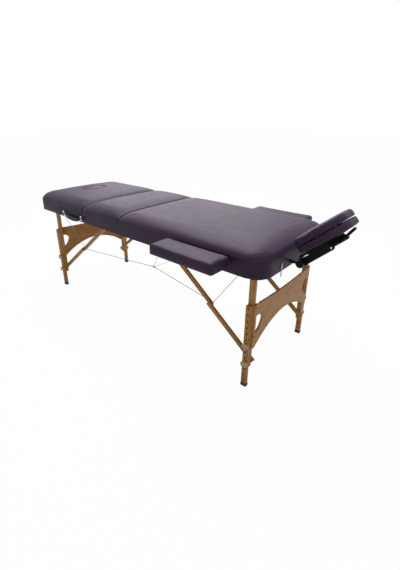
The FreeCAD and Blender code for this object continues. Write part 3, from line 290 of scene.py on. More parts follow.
def addStage(settings):
    world = bpy.data.worlds.new("studio")
    world.use_nodes = True
    tree = world.node_tree
    tree.nodes.clear()
    lit = addNode(tree, "ShaderNodeBackground", {"Color": white, "Strength": settings["world"]})
    shown = addNode(tree, "ShaderNodeBackground", {"Color": white, "Strength": 1.0})
    both = addNode(tree, "ShaderNodeMixShader", links={
        0: backdropRay(tree), 1: lit.outputs["Background"], 2: shown.outputs["Background"]})
    addNode(tree, "ShaderNodeOutputWorld", links={"Surface": both.outputs["Shader"]})
    bpy.context.scene.world = world

    clearSelection()
    bpy.ops.mesh.primitive_plane_add(size=settings["floorSize"], location=(0, 0, -settings["floorDrop"]))
    floor = settle(bpy.context.object, "floor")
    material = bpy.data.materials.new("paleFloor")
    material.use_nodes = True
    tree = material.node_tree
    tree.nodes.clear()
    pale = addNode(tree, "ShaderNodeBsdfDiffuse", {"Color": srgb(settings["floorTone"])})
    glow = addNode(tree, "ShaderNodeEmission", {"Color": white, "Strength": 1.0})
    share = mathNode(tree, "MULTIPLY", backdropRay(tree), settings["floorGlow"])
    both = addNode(tree, "ShaderNodeMixShader", links={
        0: share, 1: pale.outputs["BSDF"], 2: glow.outputs["Emission"]})
    addNode(tree, "ShaderNodeOutputMaterial", links={"Surface": both.outputs["Shader"]})
    paint(floor, material)
    for name, place, target, power, size in settings["lamps"]:
        data = bpy.data.lights.new(name, "AREA")
        data.energy = power
        data.size = size
        lamp = bpy.data.objects.new(name, data)
        bpy.context.scene.collection.objects.link(lamp)
        lamp.location = place
        lamp.rotation_mode = "QUATERNION"
        lamp.rotation_quaternion = (Vector(target) - Vector(place)).to_track_quat("-Z", "Y")
    bpy.context.scene.view_settings.view_transform = "Standard"


clearSelection()
addCamera(cameraSettings)
addStage(lightSettings)
print("camera, floor and light placed")

leatherSettings = {
    "dark": "#28182e", "light": "#3c2843", "rough": (0.42, 0.56), "grainMm": 3.0, "creaseMm": 45.0,
    "toneMm": 220.0,
}
beechSettings = {
    "pale": "#d6a468", "mid": "#c08c50", "deep": "#9c6a38", "ringMm": 8.0, "poreMm": 2.4, "stretch": 18.0,
}
# bores of the extension legs, m: their pitch, where the count of pitches starts, the radius of the painted shade
# inside each bore and the radius where it has faded out to the wood over the rim, and the colour of that painted
# shade
boreSettings = {"pitch": 0.033, "start": 0.071 - 0.033 * 8.5, "rim": (0.0036, 0.0052), "boreShade": "#1c120a"}
turnInSettings = {"edge": (0.022, 0.0225), "tone": "#2a202b"}


def connect(tree, shader, color, rough, normal):
    for name, source in (("Base Color", color), ("Roughness", rough), ("Normal", normal)):
        tree.links.new(source, shader.inputs[name])


def fadeTo(tree, color, code, distance, near, far):
    # the tone of the code nearer than near, the given colour beyond far
    share = addNode(tree, "ShaderNodeMapRange", {"From Min": near, "From Max": far}, {"Value": distance})
    mixed = addNode(tree, "ShaderNodeMix", {"data_type": "RGBA", 6: srgb(code)}, {
        0: share.outputs["Result"], 7: color})
    return mixed.outputs[2]


def leather(name, settings):
    # embossed synthetic leather: satin, with a soft pebble drawn coarser than the real 1 mm to show
    material, tree, shader = newMaterial(name, {
        "IOR": 1.46, "Specular IOR Level": 0.19, "Sheen Weight": 0.06, "Sheen Roughness": 0.45})
    place = addNode(tree, "ShaderNodeTexCoord").outputs["Object"]
    slow = addNode(tree, "ShaderNodeTexNoise", {"Scale": 1000 / settings["toneMm"], "Detail": 3.0},
                   {"Vector": place})
    tone = addNode(tree, "ShaderNodeValToRGB", links={"Fac": slow.outputs["Fac"]})
    setRamp(tone, [(0.3, srgb(settings["dark"])), (0.72, srgb(settings["light"]))])
    pebble = addNode(tree, "ShaderNodeTexVoronoi", {
        "feature": "DISTANCE_TO_EDGE", "Scale": 1000 / settings["grainMm"]}, {"Vector": place})
    grain = addNode(tree, "ShaderNodeMapRange", {"From Max": 0.3}, {"Value": pebble.outputs["Distance"]})
    crease = addNode(tree, "ShaderNodeTexNoise", {"Scale": 1000 / settings["creaseMm"], "Detail": 4.0},
                     {"Vector": place})
    fine = addNode(tree, "ShaderNodeBump", {"Strength": 0.12, "Distance": 0.0003},
                   {"Height": grain.outputs["Result"]})
    wide = addNode(tree, "ShaderNodeBump", {"Strength": 0.08, "Distance": 0.002}, {
        "Height": crease.outputs["Fac"], "Normal": fine.outputs["Normal"]})
    low, high = settings["rough"]
    polish = addNode(tree, "ShaderNodeMapRange", {"To Min": low, "To Max": high}, {"Value": crease.outputs["Fac"]})
    connect(tree, shader, tone.outputs["Color"], polish.outputs["Result"], wide.outputs["Normal"])
    return material


def beech(name, settings, along="z", turn=0.0, holesX=None, wrapX=None):
    # lacquered beech: straight honey grain along the stick, short dark flecks, a thin gloss film
    material, tree, shader = newMaterial(name, {
        "IOR": 1.5, "Specular IOR Level": 0.13, "Coat Weight": 0.03, "Coat Roughness": 0.3})
    place = addNode(tree, "ShaderNodeTexCoord").outputs["Object"]
    narrow = 1 / settings["stretch"]
    lined = {"x": (narrow, 1, 1), "y": (1, narrow, 1), "z": (1, 1, narrow)}[along]
    turned = addNode(tree, "ShaderNodeMapping", {"Rotation": (0, turn, 0)}, {"Vector": place})
    grain = addNode(tree, "ShaderNodeMapping", {"Scale": lined}, {"Vector": turned.outputs["Vector"]})
    rings = addNode(tree, "ShaderNodeTexNoise", {
        "Scale": 1000 / settings["ringMm"], "Detail": 5.0, "Roughness": 0.6, "Distortion": 0.5},
        {"Vector": grain.outputs["Vector"]})
    pores = addNode(tree, "ShaderNodeTexNoise", {"Scale": 1000 / settings["poreMm"], "Detail": 2.0},
                    {"Vector": grain.outputs["Vector"]})
    tone = addNode(tree, "ShaderNodeValToRGB", links={"Fac": rings.outputs["Fac"]})
    stops = zip((0.28, 0.5, 0.74), ("deep", "mid", "pale"))
    setRamp(tone, [(stop, srgb(settings[shade])) for stop, shade in stops])
    fleck = addNode(tree, "ShaderNodeValToRGB", links={"Fac": pores.outputs["Fac"]})
    setRamp(fleck, [(0.58, white), (0.72, (0.6, 0.55, 0.5, 1))])
    mixed = addNode(tree, "ShaderNodeMix", {"data_type": "RGBA", "blend_type": "MULTIPLY", 0: 0.8}, {
        6: tone.outputs["Color"], 7: fleck.outputs["Color"]})
    color = mixed.outputs[2]
    spot = addNode(tree, "ShaderNodeSeparateXYZ", links={"Vector": place})
    if holesX is not None:
        # bores at an even pitch: painted shade, dark inside each bore and fading out to the wood over its rim
        pitch, (clear, rim) = boreSettings["pitch"], boreSettings["rim"]
        aside = mathNode(tree, "SUBTRACT", spot.outputs["X"], holesX)
        lifted = mathNode(tree, "SUBTRACT", spot.outputs["Z"], boreSettings["start"])
        middle = mathNode(tree, "SUBTRACT", mathNode(tree, "MODULO", lifted, pitch), pitch / 2)
        flat = addNode(tree, "ShaderNodeCombineXYZ", links={"X": aside, "Y": middle})
        away = addNode(tree, "ShaderNodeVectorMath", {"operation": "LENGTH"}, {0: flat.outputs["Vector"]})
        color = fadeTo(tree, color, boreSettings["boreShade"], away.outputs["Value"], clear, rim)
    if wrapX is not None:
        # the cover is turned in over the rail's end at the fold
        far = mathNode(tree, "ABSOLUTE", mathNode(tree, "SUBTRACT", spot.outputs["X"], wrapX))
        color = fadeTo(tree, color, turnInSettings["tone"], far, *turnInSettings["edge"])
    rough = addNode(tree, "ShaderNodeMapRange", {"To Min": 0.32, "To Max": 0.48},
                    {"Value": rings.outputs["Fac"]})
    dent = addNode(tree, "ShaderNodeBump", {"Strength": 0.1, "Distance": 0.0003},
                   {"Height": pores.outputs["Fac"]})
    connect(tree, shader, color, rough.outputs["Result"], dent.outputs["Normal"])
    return material


def speckled(name, dark, light, sizeMm, settings, rough, bump=0.06, depthMm=0.1):
    # one finish with a fine speckle of tone, gloss and height, for moulded, coated and plated surfaces
    material, tree, shader = newMaterial(name, settings)
    place = addNode(tree, "ShaderNodeTexCoord").outputs["Object"]
    spots = addNode(tree, "ShaderNodeTexNoise", {"Scale": 1000 / sizeMm, "Detail": 3.0}, {"Vector": place})
    tone = addNode(tree, "ShaderNodeValToRGB", links={"Fac": spots.outputs["Fac"]})
    setRamp(tone, [(0.35, srgb(dark)), (0.65, srgb(light))])
    gloss = addNode(tree, "ShaderNodeMapRange", {"To Min": rough[0], "To Max": rough[1]},
                    {"Value": spots.outputs["Fac"]})
    relief = addNode(tree, "ShaderNodeBump", {"Strength": bump, "Distance": depthMm / 1000},
                     {"Height": spots.outputs["Fac"]})
    connect(tree, shader, tone.outputs["Color"], gloss.outputs["Result"], relief.outputs["Normal"])
    return material


strutRise = math.atan2(467, 603)     # slope of the struts
plumLeather = leather("plumLeather", leatherSettings)
legBeech = beech("legBeech", beechSettings, "z")
panelBeech = beech("panelBeech", beechSettings, "y")
railBeech = beech("railBeech", beechSettings, "x", wrapX=foldX)
strutBeech = {"a": beech("strutBeechLeft", beechSettings, "x", strutRise),
              "b": beech("strutBeechRight", beechSettings, "x", -strutRise)}
drilledBeech = {half: beech("drilledBeech" + half.upper(), beechSettings, "z", holesX=mm(x, 0, 0).x)
                for half, x in legLines.items()}
birchPly = beech("birchPly", {**beechSettings, "pale": "#d3b388", "mid": "#c39f70", "deep": "#a98355",
                              "ringMm": 20.0}, "x")
# moulded nylon: beige, matt, faintly mottled
knobNylon = speckled("knobNylon", "#c8aa7c", "#dcc298", 6.0, {"IOR": 1.53}, (0.42, 0.58))
# moulded rubber: black, dull, a little dusty
footRubber = speckled("footRubber", "#101010", "#222120", 3.0, {"IOR": 1.52}, (0.7, 0.9), 0.12, 0.2)
# powder-coated steel: black with an orange-peel skin
blackCoat = speckled("blackCoat", "#050506", "#0d0d0e", 1.5, {"IOR": 1.5, "Specular IOR Level": 0.1},
                     (0.34, 0.48), 0.08, 0.15)
# closed-cell foam sleeve: soft black, fine pores
gripFoam = speckled("gripFoam", "#0d0c0e", "#1b191d", 1.2, {"IOR": 1.5}, (0.6, 0.8), 0.25, 0.3)
# chromium plate: bright, with slow polishing marks
chromePlate = speckled("chromePlate", "#c6c6c9", "#e2e2e4", 12.0, {"Metallic": 1.0}, (0.1, 0.22), 0.02)
# zinc-plated steel: grey, satin, spangled
zincSteel = speckled("zincSteel", "#747577", "#98999b", 5.0, {"Metallic": 1.0}, (0.28, 0.46), 0.04)
# stranded steel cable, its strands drawn coarser than the real 0.3 mm
cableSteel = speckled("cableSteel", "#6f7072", "#98999b", 1.2, {"Metallic": 0.8}, (0.35, 0.55), 0.3, 0.2)
# braided elastic: pale grey, matt
stayElastic = speckled("stayElastic", "#b4b4b1", "#d9d9d6", 1.5, {"IOR": 1.5}, (0.6, 0.8), 0.2, 0.2)
# woven hook tape: black pile without gloss
hookTape = speckled("hookTape", "#0b0b0c", "#1b1a1c", 1.0, {"IOR": 1.5}, (0.85, 0.98), 0.5, 0.6)
# non-woven dust cover under the armrests and the back: charcoal felt
dustFelt = speckled("dustFelt", "#161316", "#262127", 2.0, {"IOR": 1.5}, (0.85, 0.98), 0.4, 0.4)
# bonded polyester thread: near-black plum, dull, a thin line along the seam
seamThread = speckled("seamThread", "#0a070a", "#171017", 0.8, {"IOR": 1.5}, (0.6, 0.8), 0.3)
# blackened screw steel
screwSteel = speckled("screwSteel", "#1b1613", "#3a322c", 2.0, {"Metallic": 0.6}, (0.4, 0.6), 0.05)

nodeFinish = {
    "_legs": legBeech, "_end_panel": panelBeech, "_foot": footRubber, "_clamp_knobs": knobNylon,
    "_fittings": zincSteel, "_rails": railBeech, "_end_rail": panelBeech, "_fold_rail": railBeech,
    "_bearers": panelBeech, "back_deck": dustFelt, "_deck": birchPly, "_leaves": zincSteel, "_prop": zincSteel,
    "_rods": blackCoat, "_yoke": blackCoat, "_tilt_frame": blackCoat, "_lever": blackCoat, "_strips": hookTape,
    "_latch": chromePlate, "_handle": gripFoam, "_armrest_base": dustFelt, "_cables": cableSteel,
    "_wrap": plumLeather,
    "_cushion": plumLeather, "_pad": plumLeather, "_plug": plumLeather, "_welt": plumLeather,
}
for name, obj in nodes.items():
    if name.endswith("_strut"):
        paint(obj, strutBeech[name[0]])
    elif name.endswith("_extension"):
        paint(obj, drilledBeech[name[0]])
    else:
        paint(obj, next(look for ending, look in nodeFinish.items() if name.endswith(ending)))
print("finishes on", len(nodes), "CAD nodes")

clothSettings = {"pressure": 4.0, "frames": 20, "tension": 25, "shear": 10, "bending": 2.0, "quality": 4}


def puffUp(obj, cap, held, settings):
    # cover under pressure: held(co) is true where it is glued or tacked to its board
    before = [v.co.copy() for v in obj.data.vertices]
    group = obj.vertex_groups.new(name="held")
    group.add([v.index for v in obj.data.vertices if held(v.co)], 1.0, "REPLACE")
    cloth = obj.modifiers.new("cloth", "CLOTH")
    cloth.settings.effector_weights.gravity = 0.0
    cloth.settings.use_pressure = True
    cloth.settings.uniform_pressure_force = settings["pressure"]
    cloth.settings.tension_stiffness = settings["tension"]
    cloth.settings.compression_stiffness = settings["tension"]
    cloth.settings.shear_stiffness = settings["shear"]
    cloth.settings.bending_stiffness = settings["bending"]
    cloth.settings.quality = settings["quality"]
    cloth.settings.vertex_group_mass = "held"
    cloth.collision_settings.use_collision = False
    cloth.point_cache.frame_start = 1
    cloth.point_cache.frame_end = settings["frames"]
    for step in range(1, settings["frames"] + 1):
        bpy.context.scene.frame_set(step)
    pick(obj)
    bpy.ops.object.modifier_apply(modifier="cloth")
    bpy.context.scene.frame_set(1)
    for v, start in zip(obj.data.vertices, before):
        move = v.co - start
        if move.length > cap:
            v.co = start + move * (cap / move.length)
    obj.vertex_groups.clear()


def easeSkin(obj, rounds, above=0.0):
    # smooths the skin above a height, m
    group = obj.vertex_groups.new(name="eased")
    group.add([v.index for v in obj.data.vertices if v.co.z > above], 1.0, "REPLACE")
    made = obj.modifiers.new("ease", "SMOOTH")
    made.iterations = rounds
    made.factor = 0.5
    made.vertex_group = "eased"
    applyModifiers(obj)
    obj.vertex_groups.clear()


def remesh(obj, voxel):
    pick(obj)
    obj.data.remesh_voxel_size = voxel
    bpy.ops.object.voxel_remesh()


def upright(a, b):
    return abs(a.z - b.z) > 20 * hair and abs(a.x - b.x) + abs(a.y - b.y) < hair


def cornerBlock(name, low, high, corners):
    # a block with its upright edges rounded, by the radii at its low-x and high-x ends, mm
    obj = addBlock(name, mm(*low), mm(*high))
    for x, radius in zip((low[0], high[0]), corners):
        if not radius:
            continue
        editWhere(obj, "EDGE", lambda a, b: upright(a, b) and abs(a.x - mm(x, 0, 0).x) < hair)
        bpy.ops.mesh.bevel(offset=radius / 1000, segments=10 if radius > 20 else 3, affect="EDGES")
        leaveEdit()
    return obj


def domeTop(obj, spec):
    # rolls the top of a block down to its outer edges, and less far down to its seams
    (x0, x1), half = spec["x"], spec["half"]
    reach, down = spec["roll"]
    shoulder = spec["z"][1] - down
    for v in obj.data.vertices:
        high = v.co.z * 1000 - shoulder
        if high <= 0:
            continue
        x, y = (v.co.x - foldX) * 1000, abs(v.co.y * 1000 - spec.get("middleY", 0))
        beyondX, fall = 0.0, 0.0
        for inside, sewn in ((x - x0, spec["sewn"][0]), (x1 - x, spec["sewn"][1])):
            if sewn:
                slow = max(0, 1 - inside / spec["dipReach"])
                tight = min(1, max(0, 1 - inside / spec["seamRoll"]))
                fall += spec["dip"] * slow ** 2 + spec["seamDrop"] * (1 - math.sqrt(1 - tight ** 2))
            else:
                beyondX = max(beyondX, reach - inside)
        beyond = math.hypot(beyondX, max(0, y - half + reach)) / reach
        rise = math.sqrt(max(0, 1 - beyond ** 2))
        high = high * rise + spec["crown"] * rise * (1 - (y / half) ** 2) - fall * rise
        v.co.z = (shoulder + max(high, 0)) / 1000


plugSettings = {
    "middle": (-715, 0), "half": (62, 88), "low": 650.2, "top": 721, "slim": 0.2, "voxel": 0.004, "cap": 0.002,
    "hold": 6, "steps": ((4, 0.985), (2.5, 0.95), (1.2, 0.9), (0.8, 0.6)), "stepsFrom": 8,
    "play": 0.6, "holeLow": 620, "flare": (709, 715, 720, 732), "spread": (1.025, 1.05, 1.16),
}


def ovalBase(name, settings, play, low, high):
    clearSelection()
    bpy.ops.mesh.primitive_cylinder_add(vertices=96, radius=1, depth=(high - low) / 1000,
                                        location=mm(*settings["middle"], (low + high) / 2))
    obj = bpy.context.object
    obj.scale = ((settings["half"][0] + play) / 1000, (settings["half"][1] + play) / 1000, 1)
    return settle(obj, name)


def stepTop(obj, steps, middle):
    # raises the top face in steps of (height, spread)
    editWhere(obj, "FACE", lambda face: face.normal.z > 0.9)
    for rise, spread in steps:
        bpy.ops.mesh.extrude_region_move(TRANSFORM_OT_translate={"value": (0, 0, rise / 1000)})
        bpy.ops.transform.resize(value=(spread, spread, 1), center_override=middle)
    leaveEdit()


def holeTool(settings):
    heights = settings["flare"]
    obj = ovalBase("holeTool", settings, settings["play"], settings["holeLow"], heights[0])
    rises = [b - a for a, b in zip(heights, heights[1:])]
    stepTop(obj, zip(rises, settings["spread"]), mm(*settings["middle"], heights[2]))
    return obj


def makePlug(settings):
    top = settings["top"]
    obj = ovalBase("facePlug", settings, -settings["slim"], settings["low"], top - settings["stepsFrom"])
    stepTop(obj, settings["steps"], mm(*settings["middle"], top))
    remesh(obj, settings["voxel"])
    puffUp(obj, settings["cap"], lambda co: co.z * 1000 < top - settings["hold"], clothSettings)
    dress(obj, plumLeather, "plug", ("face_plug",), 50)


topSettings = {
    "half": 335, "roll": (98, 45), "crown": 6, "dip": 9, "dipReach": 130, "seamRoll": 24, "seamDrop": 12,
    "voxel": 0.008, "cap": 0.0012, "ease": 8, "easeBelow": 0.012, "holdOver": 4, "seamHold": 0.012, "wall": 3.2,
    "sections": {
        "mainPad": {
            "x": (0.5, 930), "z": (592.6, 714), "corners": (0, 85), "sewn": (True, False),
            "body": "half_b",
            "replaces": ("main_cushion", "b_frame_wrap"), "room": ((0.4, 926.8), (580, 655.2), (0, 82))},
        "middlePad": {
            "x": (-354.2, -0.5), "z": (592.6, 714), "corners": (0, 0), "sewn": (True, True),
            "body": "half_a",
            "replaces": ("middle_cushion",), "room": ((-360, -0.4), (580, 655.2), (0, 0))},
        "backPad": {
            "x": (-930, -355.8), "z": (649.4, 714), "corners": (85, 0), "sewn": (False, True),
            "body": "back",
            "replaces": ("back_cushion",), "room": ((-926.8, -350), (640, 659.2), (82, 0))},
    },
}


def makeSection(name, settings):
    part = settings["sections"][name]
    spec = {**settings, **part}
    (x0, x1), half, (bottom, top) = part["x"], settings["half"], part["z"]
    obj = cornerBlock(name, (x0, -half, bottom), (x1, half, top), part["corners"])
    remesh(obj, settings["voxel"])
    domeTop(obj, spec)
    remesh(obj, settings["voxel"])
    shoulder = (top - settings["roll"][1] + settings["holdOver"]) / 1000
    easeSkin(obj, settings["ease"], shoulder - settings["easeBelow"])
    seams = [mm(x, 0, 0).x for x, sewn in zip(part["x"], part["sewn"]) if sewn]
    puffUp(obj, settings["cap"],
           lambda co: co.z < shoulder or any(abs(co.x - x) < settings["seamHold"] for x in seams), clothSettings)
    room, height, corners = part["room"]
    reach = half - settings["wall"]
    carve(obj, cornerBlock("room", (room[0], -reach, height[0]), (room[1], reach, height[1]), corners))
    if name == "backPad":
        carve(obj, holeTool(plugSettings))
    dress(obj, plumLeather, part["body"], part["replaces"], 50)
    return obj


tops = {name: makeSection(name, topSettings) for name in topSettings["sections"]}
makePlug(plugSettings)
print("top cushions made")

wrapSettings = {
    "x": (-930, -353.5), "half": 335, "z": (592.6, 649.0), "corner": 85, "wall": 3.2, "edge": 1.5,
    "cutPast": (20, 9),
}


def makeBackWrap(settings):
    # leather turned round the frame under the lifting back
    x0, x1 = settings["x"]
    low, high = settings["z"]
    half, wall, corner = settings["half"], settings["wall"], settings["corner"]
    pastX, pastZ = settings["cutPast"]
    obj = cornerBlock("backWrap", (x0, -half, low), (x1, half, high), (corner, 0))
    carve(obj, cornerBlock("room", (x0 + wall, wall - half, low - pastZ), (x1 + pastX, half - wall, high + pastZ),
                           (corner - wall, 0)))
    roundEdges(obj, settings["edge"] / 1000, 3)
    dress(obj, plumLeather, "half_a", ("a_frame_wrap",))


makeBackWrap(wrapSettings)

weltSettings = {"x": -355, "z": 696, "half": 262, "radius": 4.6, "ends": 3.0}


def makeWelt(settings):
    # piping in the parting between the back and the middle section
    start, end = [mm(settings["x"], side * settings["half"], settings["z"]) for side in (-1, 1)]
    welt = addRod("backWelt", start, end, settings["radius"] / 1000, 24)
    roundEdges(welt, settings["ends"] / 1000, 4)
    dress(welt, plumLeather, "half_a", ("back_seam_welt",), 60)


makeWelt(weltSettings)

# sewn seam round each outer corner: from the side up over the roll and down to the end, mm
# it ends above the swing of the latches, and on the back above its parting
seamSettings = {
    "radius": 0.9, "lift": 0.1, "rounds": 3, "lowest": {"Main": 645, "Back": 651},
    "route": ((812, 335, 650), (826, 335, 670), (850, 322, 690), (880, 284, 700),
              (915, 256, 690), (930, 236, 670), (930, 222, 650)),
}


def sewCorner(label, part, pad, body, mirrorX, side, settings):
    # the route is eased by cutting its corners, and laid on the cushion's skin
    low = settings["lowest"][part]
    places = [Vector((mirrorX * x, side * y, z)) for x, y, z in settings["route"] if z > low]
    for _ in range(settings["rounds"]):
        eased = [places[0]]
        for a, b in zip(places, places[1:]):
            eased += [a.lerp(b, 0.25), a.lerp(b, 0.75)]
        places = eased + [places[-1]]
    skin = []
    for place in places:
        _, at, normal, _ = pad.closest_point_on_mesh(mm(*place))
        skin.append(at + normal * settings["lift"] / 1000)
    obj = tubeAlong(label + part + "Seam", skin, settings["radius"] / 1000, 8)
    dress(obj, seamThread, body, angle=70)


for side, label in bothSides:
    sewCorner(label, "Main", tops["mainPad"], "half_b", 1, side, seamSettings)
    sewCorner(label, "Back", tops["backPad"], "back", -1, side, seamSettings)
print("wrap, welt and corner seams made")

armrestSettings = {
    "x": (418, 780), "half": 62, "middleY": 416, "z": (630.3, 679), "corners": (9, 9), "roll": (11, 9),
    "crown": 2, "sewn": (False, False), "voxel": 0.005, "cap": 0.0012, "ease": 2, "hold": 8,
    "wall": 4.4, "roomZ": (620, 640.2),
}


def makeArmrest(label, side, settings):
    spec = {**settings, "middleY": side * settings["middleY"]}
    (x0, x1), half, (bottom, top) = settings["x"], settings["half"], settings["z"]
    y = spec["middleY"]
    obj = cornerBlock(label + "ArmrestPad", (x0, y - half, bottom), (x1, y + half, top),
                      settings["corners"])
    remesh(obj, settings["voxel"])
    domeTop(obj, spec)
    remesh(obj, settings["voxel"])
    easeSkin(obj, settings["ease"])
    puffUp(obj, settings["cap"], lambda co: co.z * 1000 < bottom + settings["hold"], clothSettings)
    wall, (low, high) = settings["wall"], settings["roomZ"]
    reach = half - wall
    carve(obj, addBlock("room", mm(x0 + wall, y - reach, low), mm(x1 - wall, y + reach, high)))
    dress(obj, plumLeather, label + "_armrest", (label + "_armrest_pad",), 50)


for side, label in bothSides:
    makeArmrest(label, side, armrestSettings)
print("armrests made")

headSettings = {
    "pivot": (980, 0, 621), "tilt": 40, "voxel": 0.004, "cap": 0.004, "weld": 0.00005, "ease": 3, "hold": 2.5,
    # CAD node, underside, top, and whether the top is held too
    "pads": {"headrestBasePad": ("headrest_base_pad", 37, 67, True),
             "headrestFacePad": ("headrest_face_pad", 72, 106, False)},
    "bolt": (153, 2, 92), "boltRadius": 4.2, "boltHead": 2.4, "boltSunk": 0.2, "boltEdge": 0.7,
    "socket": ((1.6, 0), (0.4, -1.2)),
    "bar": {"u": (-14, 52), "w": 20, "out": 94.8, "radius": 2.4, "edge": 0.8},
}


def headPoint(u, w, y, settings):
    # u runs out along the headrest, w stands up from it
    t = math.radians(settings["tilt"])
    x, _, z = settings["pivot"]
    return mm(x + u * math.cos(t) - w * math.sin(t), y, z + u * math.sin(t) + w * math.cos(t))


def makeHeadPads(settings):
    t = math.radians(settings["tilt"])
    pivot = mm(*settings["pivot"])
    hold = settings["hold"]
    for name, (node, low, high, topHeld) in settings["pads"].items():
        obj = bpy.data.objects.new(name, nodes[node].data.copy())
        obj.data.name = name
        bpy.context.scene.collection.objects.link(obj)
        editWhere(obj, "VERT", lambda co: True)
        bpy.ops.mesh.remove_doubles(threshold=settings["weld"])
        leaveEdit()
        remesh(obj, settings["voxel"])
        easeSkin(obj, settings["ease"])

        def held(co):
            w = (-(co.x - pivot.x) * math.sin(t) + (co.z - pivot.z) * math.cos(t)) * 1000
            return w < low + hold or (topHeld and w > high - hold)

        puffUp(obj, settings["cap"], held, clothSettings)
        dress(obj, plumLeather, "headrest", (node,), 50)


def makeHeadBolts(settings):
    # socket bolts on both arms, and the bright bar on the near one
    u, w, out = settings["bolt"]
    heads = []
    for side in (-1, 1):
        head = addRod("head", headPoint(u, w, side * (out - settings["boltSunk"]), settings),
                      headPoint(u, w, side * (out + settings["boltHead"]), settings),
                      settings["boltRadius"] / 1000, 24)
        editWhere(head, "FACE", lambda face: face.normal.y * side > 0.9)
        insetFaces(settings["socket"])
        leaveEdit()
        roundEdges(head, settings["boltEdge"] / 1000, 2)
        heads.append(head)
    bar = settings["bar"]
    start, end = [headPoint(u, bar["w"], -bar["out"], settings) for u in bar["u"]]
    rod = addRod("bar", start, end, bar["radius"] / 1000, 20)
    roundEdges(rod, bar["edge"] / 1000, 2)
    dress(joinAll("headrestBolts", heads + [rod]), chromePlate, "headrest")


makeHeadPads(headSettings)
makeHeadBolts(headSettings)
print("headrest made")

knobSettings = {
    "radius": 16, "out": (302.3, 313.3), "heights": (137, 236), "rim": 2.2,
    "face": ((3.6, 0), (0.6, -1.3), (2.4, 0), (0.4, 0.9)),
}


def makeKnobs(half, settings):
    # one knob is turned and copied to both legs and both heights
    low, high = settings["out"]
    model = addRod("knob", (0, low / 1000, 0), (0, high / 1000, 0), settings["radius"] / 1000, 40)
    roundEdges(model, settings["rim"] / 1000, 3)
    editWhere(model, "FACE", lambda face: face.normal.y > 0.95)
    insetFaces(settings["face"])
    leaveEdit()
    knobs = []
    for side in (-1, 1):
        turn = Matrix.Rotation(math.pi if side < 0 else 0.0, 4, "Z")
        for height in settings["heights"]:
            spot = Matrix.Translation(mm(legLines[half], 0, height))
            knobs.append(copyMoved(model, spot @ turn, "knob"))
    bpy.data.objects.remove(model)
    dress(joinAll(half + "ClampKnobs", knobs), knobNylon, "legs_" + half,
          (half + "_clamp_knobs",), 35)


screwSettings = {
    "radius": 4.0, "head": 1.3, "sunk": 0.2, "places": ((276, 436), (276, 284)),
    "faces": {"a": (-809.5, -1), "b": (878.5, 1)}, "socket": ((1.2, 0.4), (0.9, 0), (0.3, -0.9)),
}


def makeScrews(half, settings):
    # low socket heads that hold the panel to its legs
    face, way = settings["faces"][half]
    model = addRod("screw", (-settings["sunk"] / 1000 * way, 0, 0), (settings["head"] / 1000 * way, 0, 0),
                   settings["radius"] / 1000, 20)
    editWhere(model, "FACE", lambda item: item.normal.x * way > 0.95)
    insetFaces(settings["socket"])
    leaveEdit()
    screws = [copyMoved(model, Matrix.Translation(mm(face, side * y, z)), "screw")
              for side in (-1, 1) for y, z in settings["places"]]
    bpy.data.objects.remove(model)
    dress(joinAll(half + "PanelScrews", screws), screwSteel, "legs_" + half, angle=30)


for half in "ab":
    makeKnobs(half, knobSettings)
    makeScrews(half, screwSettings)
print("knobs and screws made")

cableSettings = {
    "radius": 1.5, "stay": 1.0, "plane": {"a": 236.6, "b": 233.3}, "ring": (174, 412), "fold": -60,
    "knuckle": {"a": (-539.2, 341.9), "b": (608.2, 341.9)}, "eye": {"a": (-645, 607), "b": (817, 607)},
    "eyeY": 313.5, "stays": ((253, 598), (525, 607)), "steps": 20,
    "loopRadii": (4.8, 1.2), "sleeve": {"span": (4, 18), "radius": 2.6, "edge": 0.6},
}


def runOf(start, end, steps):
    return [Vector(start).lerp(Vector(end), i / steps) for i in range(steps + 1)]


def makeCables(label, side, settings):
    # taut brace cables: each run is drawn straight between the two bodies that hold its ends, and the halves lie
    # side by side
    radius, steps = settings["radius"] / 1000, settings["steps"]
    plane = {half: side * y for half, y in settings["plane"].items()}
    y = plane["b"]
    ring = mm(settings["ring"][0], y, settings["ring"][1])
    knuckle = {half: mm(x, plane[half], z) for half, (x, z) in settings["knuckle"].items()}
    share = (mm(settings["fold"], 0, 0).x - knuckle["a"].x) / (ring.x - knuckle["a"].x)
    handOver = knuckle["a"].lerp(ring, share)
    handOver.y = knuckle["a"].y
    runs = [("Left", knuckle["a"], handOver, "upper_struts_a", "half_a"),
            ("Middle", handOver, ring, "half_a", "half_b"),
            ("Right", knuckle["b"], ring, "upper_struts_b", "half_b")]
    for half in "ab":
        eye = mm(settings["eye"][half][0], side * settings["eyeY"], settings["eye"][half][1])
        runs.append(("End" + half.upper(), knuckle[half], eye, "upper_struts_" + half, "half_" + half))
    for name, start, end, first, second in runs:
        obj = tubeAlong(label + "Cable" + name, runOf(start, end, steps), radius, 10)
        paint(obj, cableSteel)
        smoothAngle(obj, 60)
        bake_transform(obj)
        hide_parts("brace_cables")
    stays = [tubeAlong("stay", runOf(ring, mm(x, y, z), 2), settings["stay"] / 1000, 8)
             for x, z in settings["stays"]]
    dress(joinAll(label + "CableStays", stays), stayElastic, "half_b")
    clearSelection()
    wide, thick = settings["loopRadii"]
    bpy.ops.mesh.primitive_torus_add(location=ring, rotation=(math.pi / 2, 0, 0), major_radius=wide / 1000,
                                     minor_radius=thick / 1000, major_segments=28, minor_segments=10)
    sleeves = [settle(bpy.context.object, "loop")]
    form = settings["sleeve"]
    for target in (handOver, knuckle["b"]):
        way = (target - ring).normalized()
        start, end = [ring + way * (along / 1000) for along in form["span"]]
        sleeve = addRod("sleeve", start, end, form["radius"] / 1000, 16)
        roundEdges(sleeve, form["edge"] / 1000, 2)
        sleeves.append(sleeve)
    dress(joinAll(label + "CableRing", sleeves), zincSteel, "half_b")


for side, label in bothSides:
    makeCables(label, side, cableSettings)
print("brace cables made")

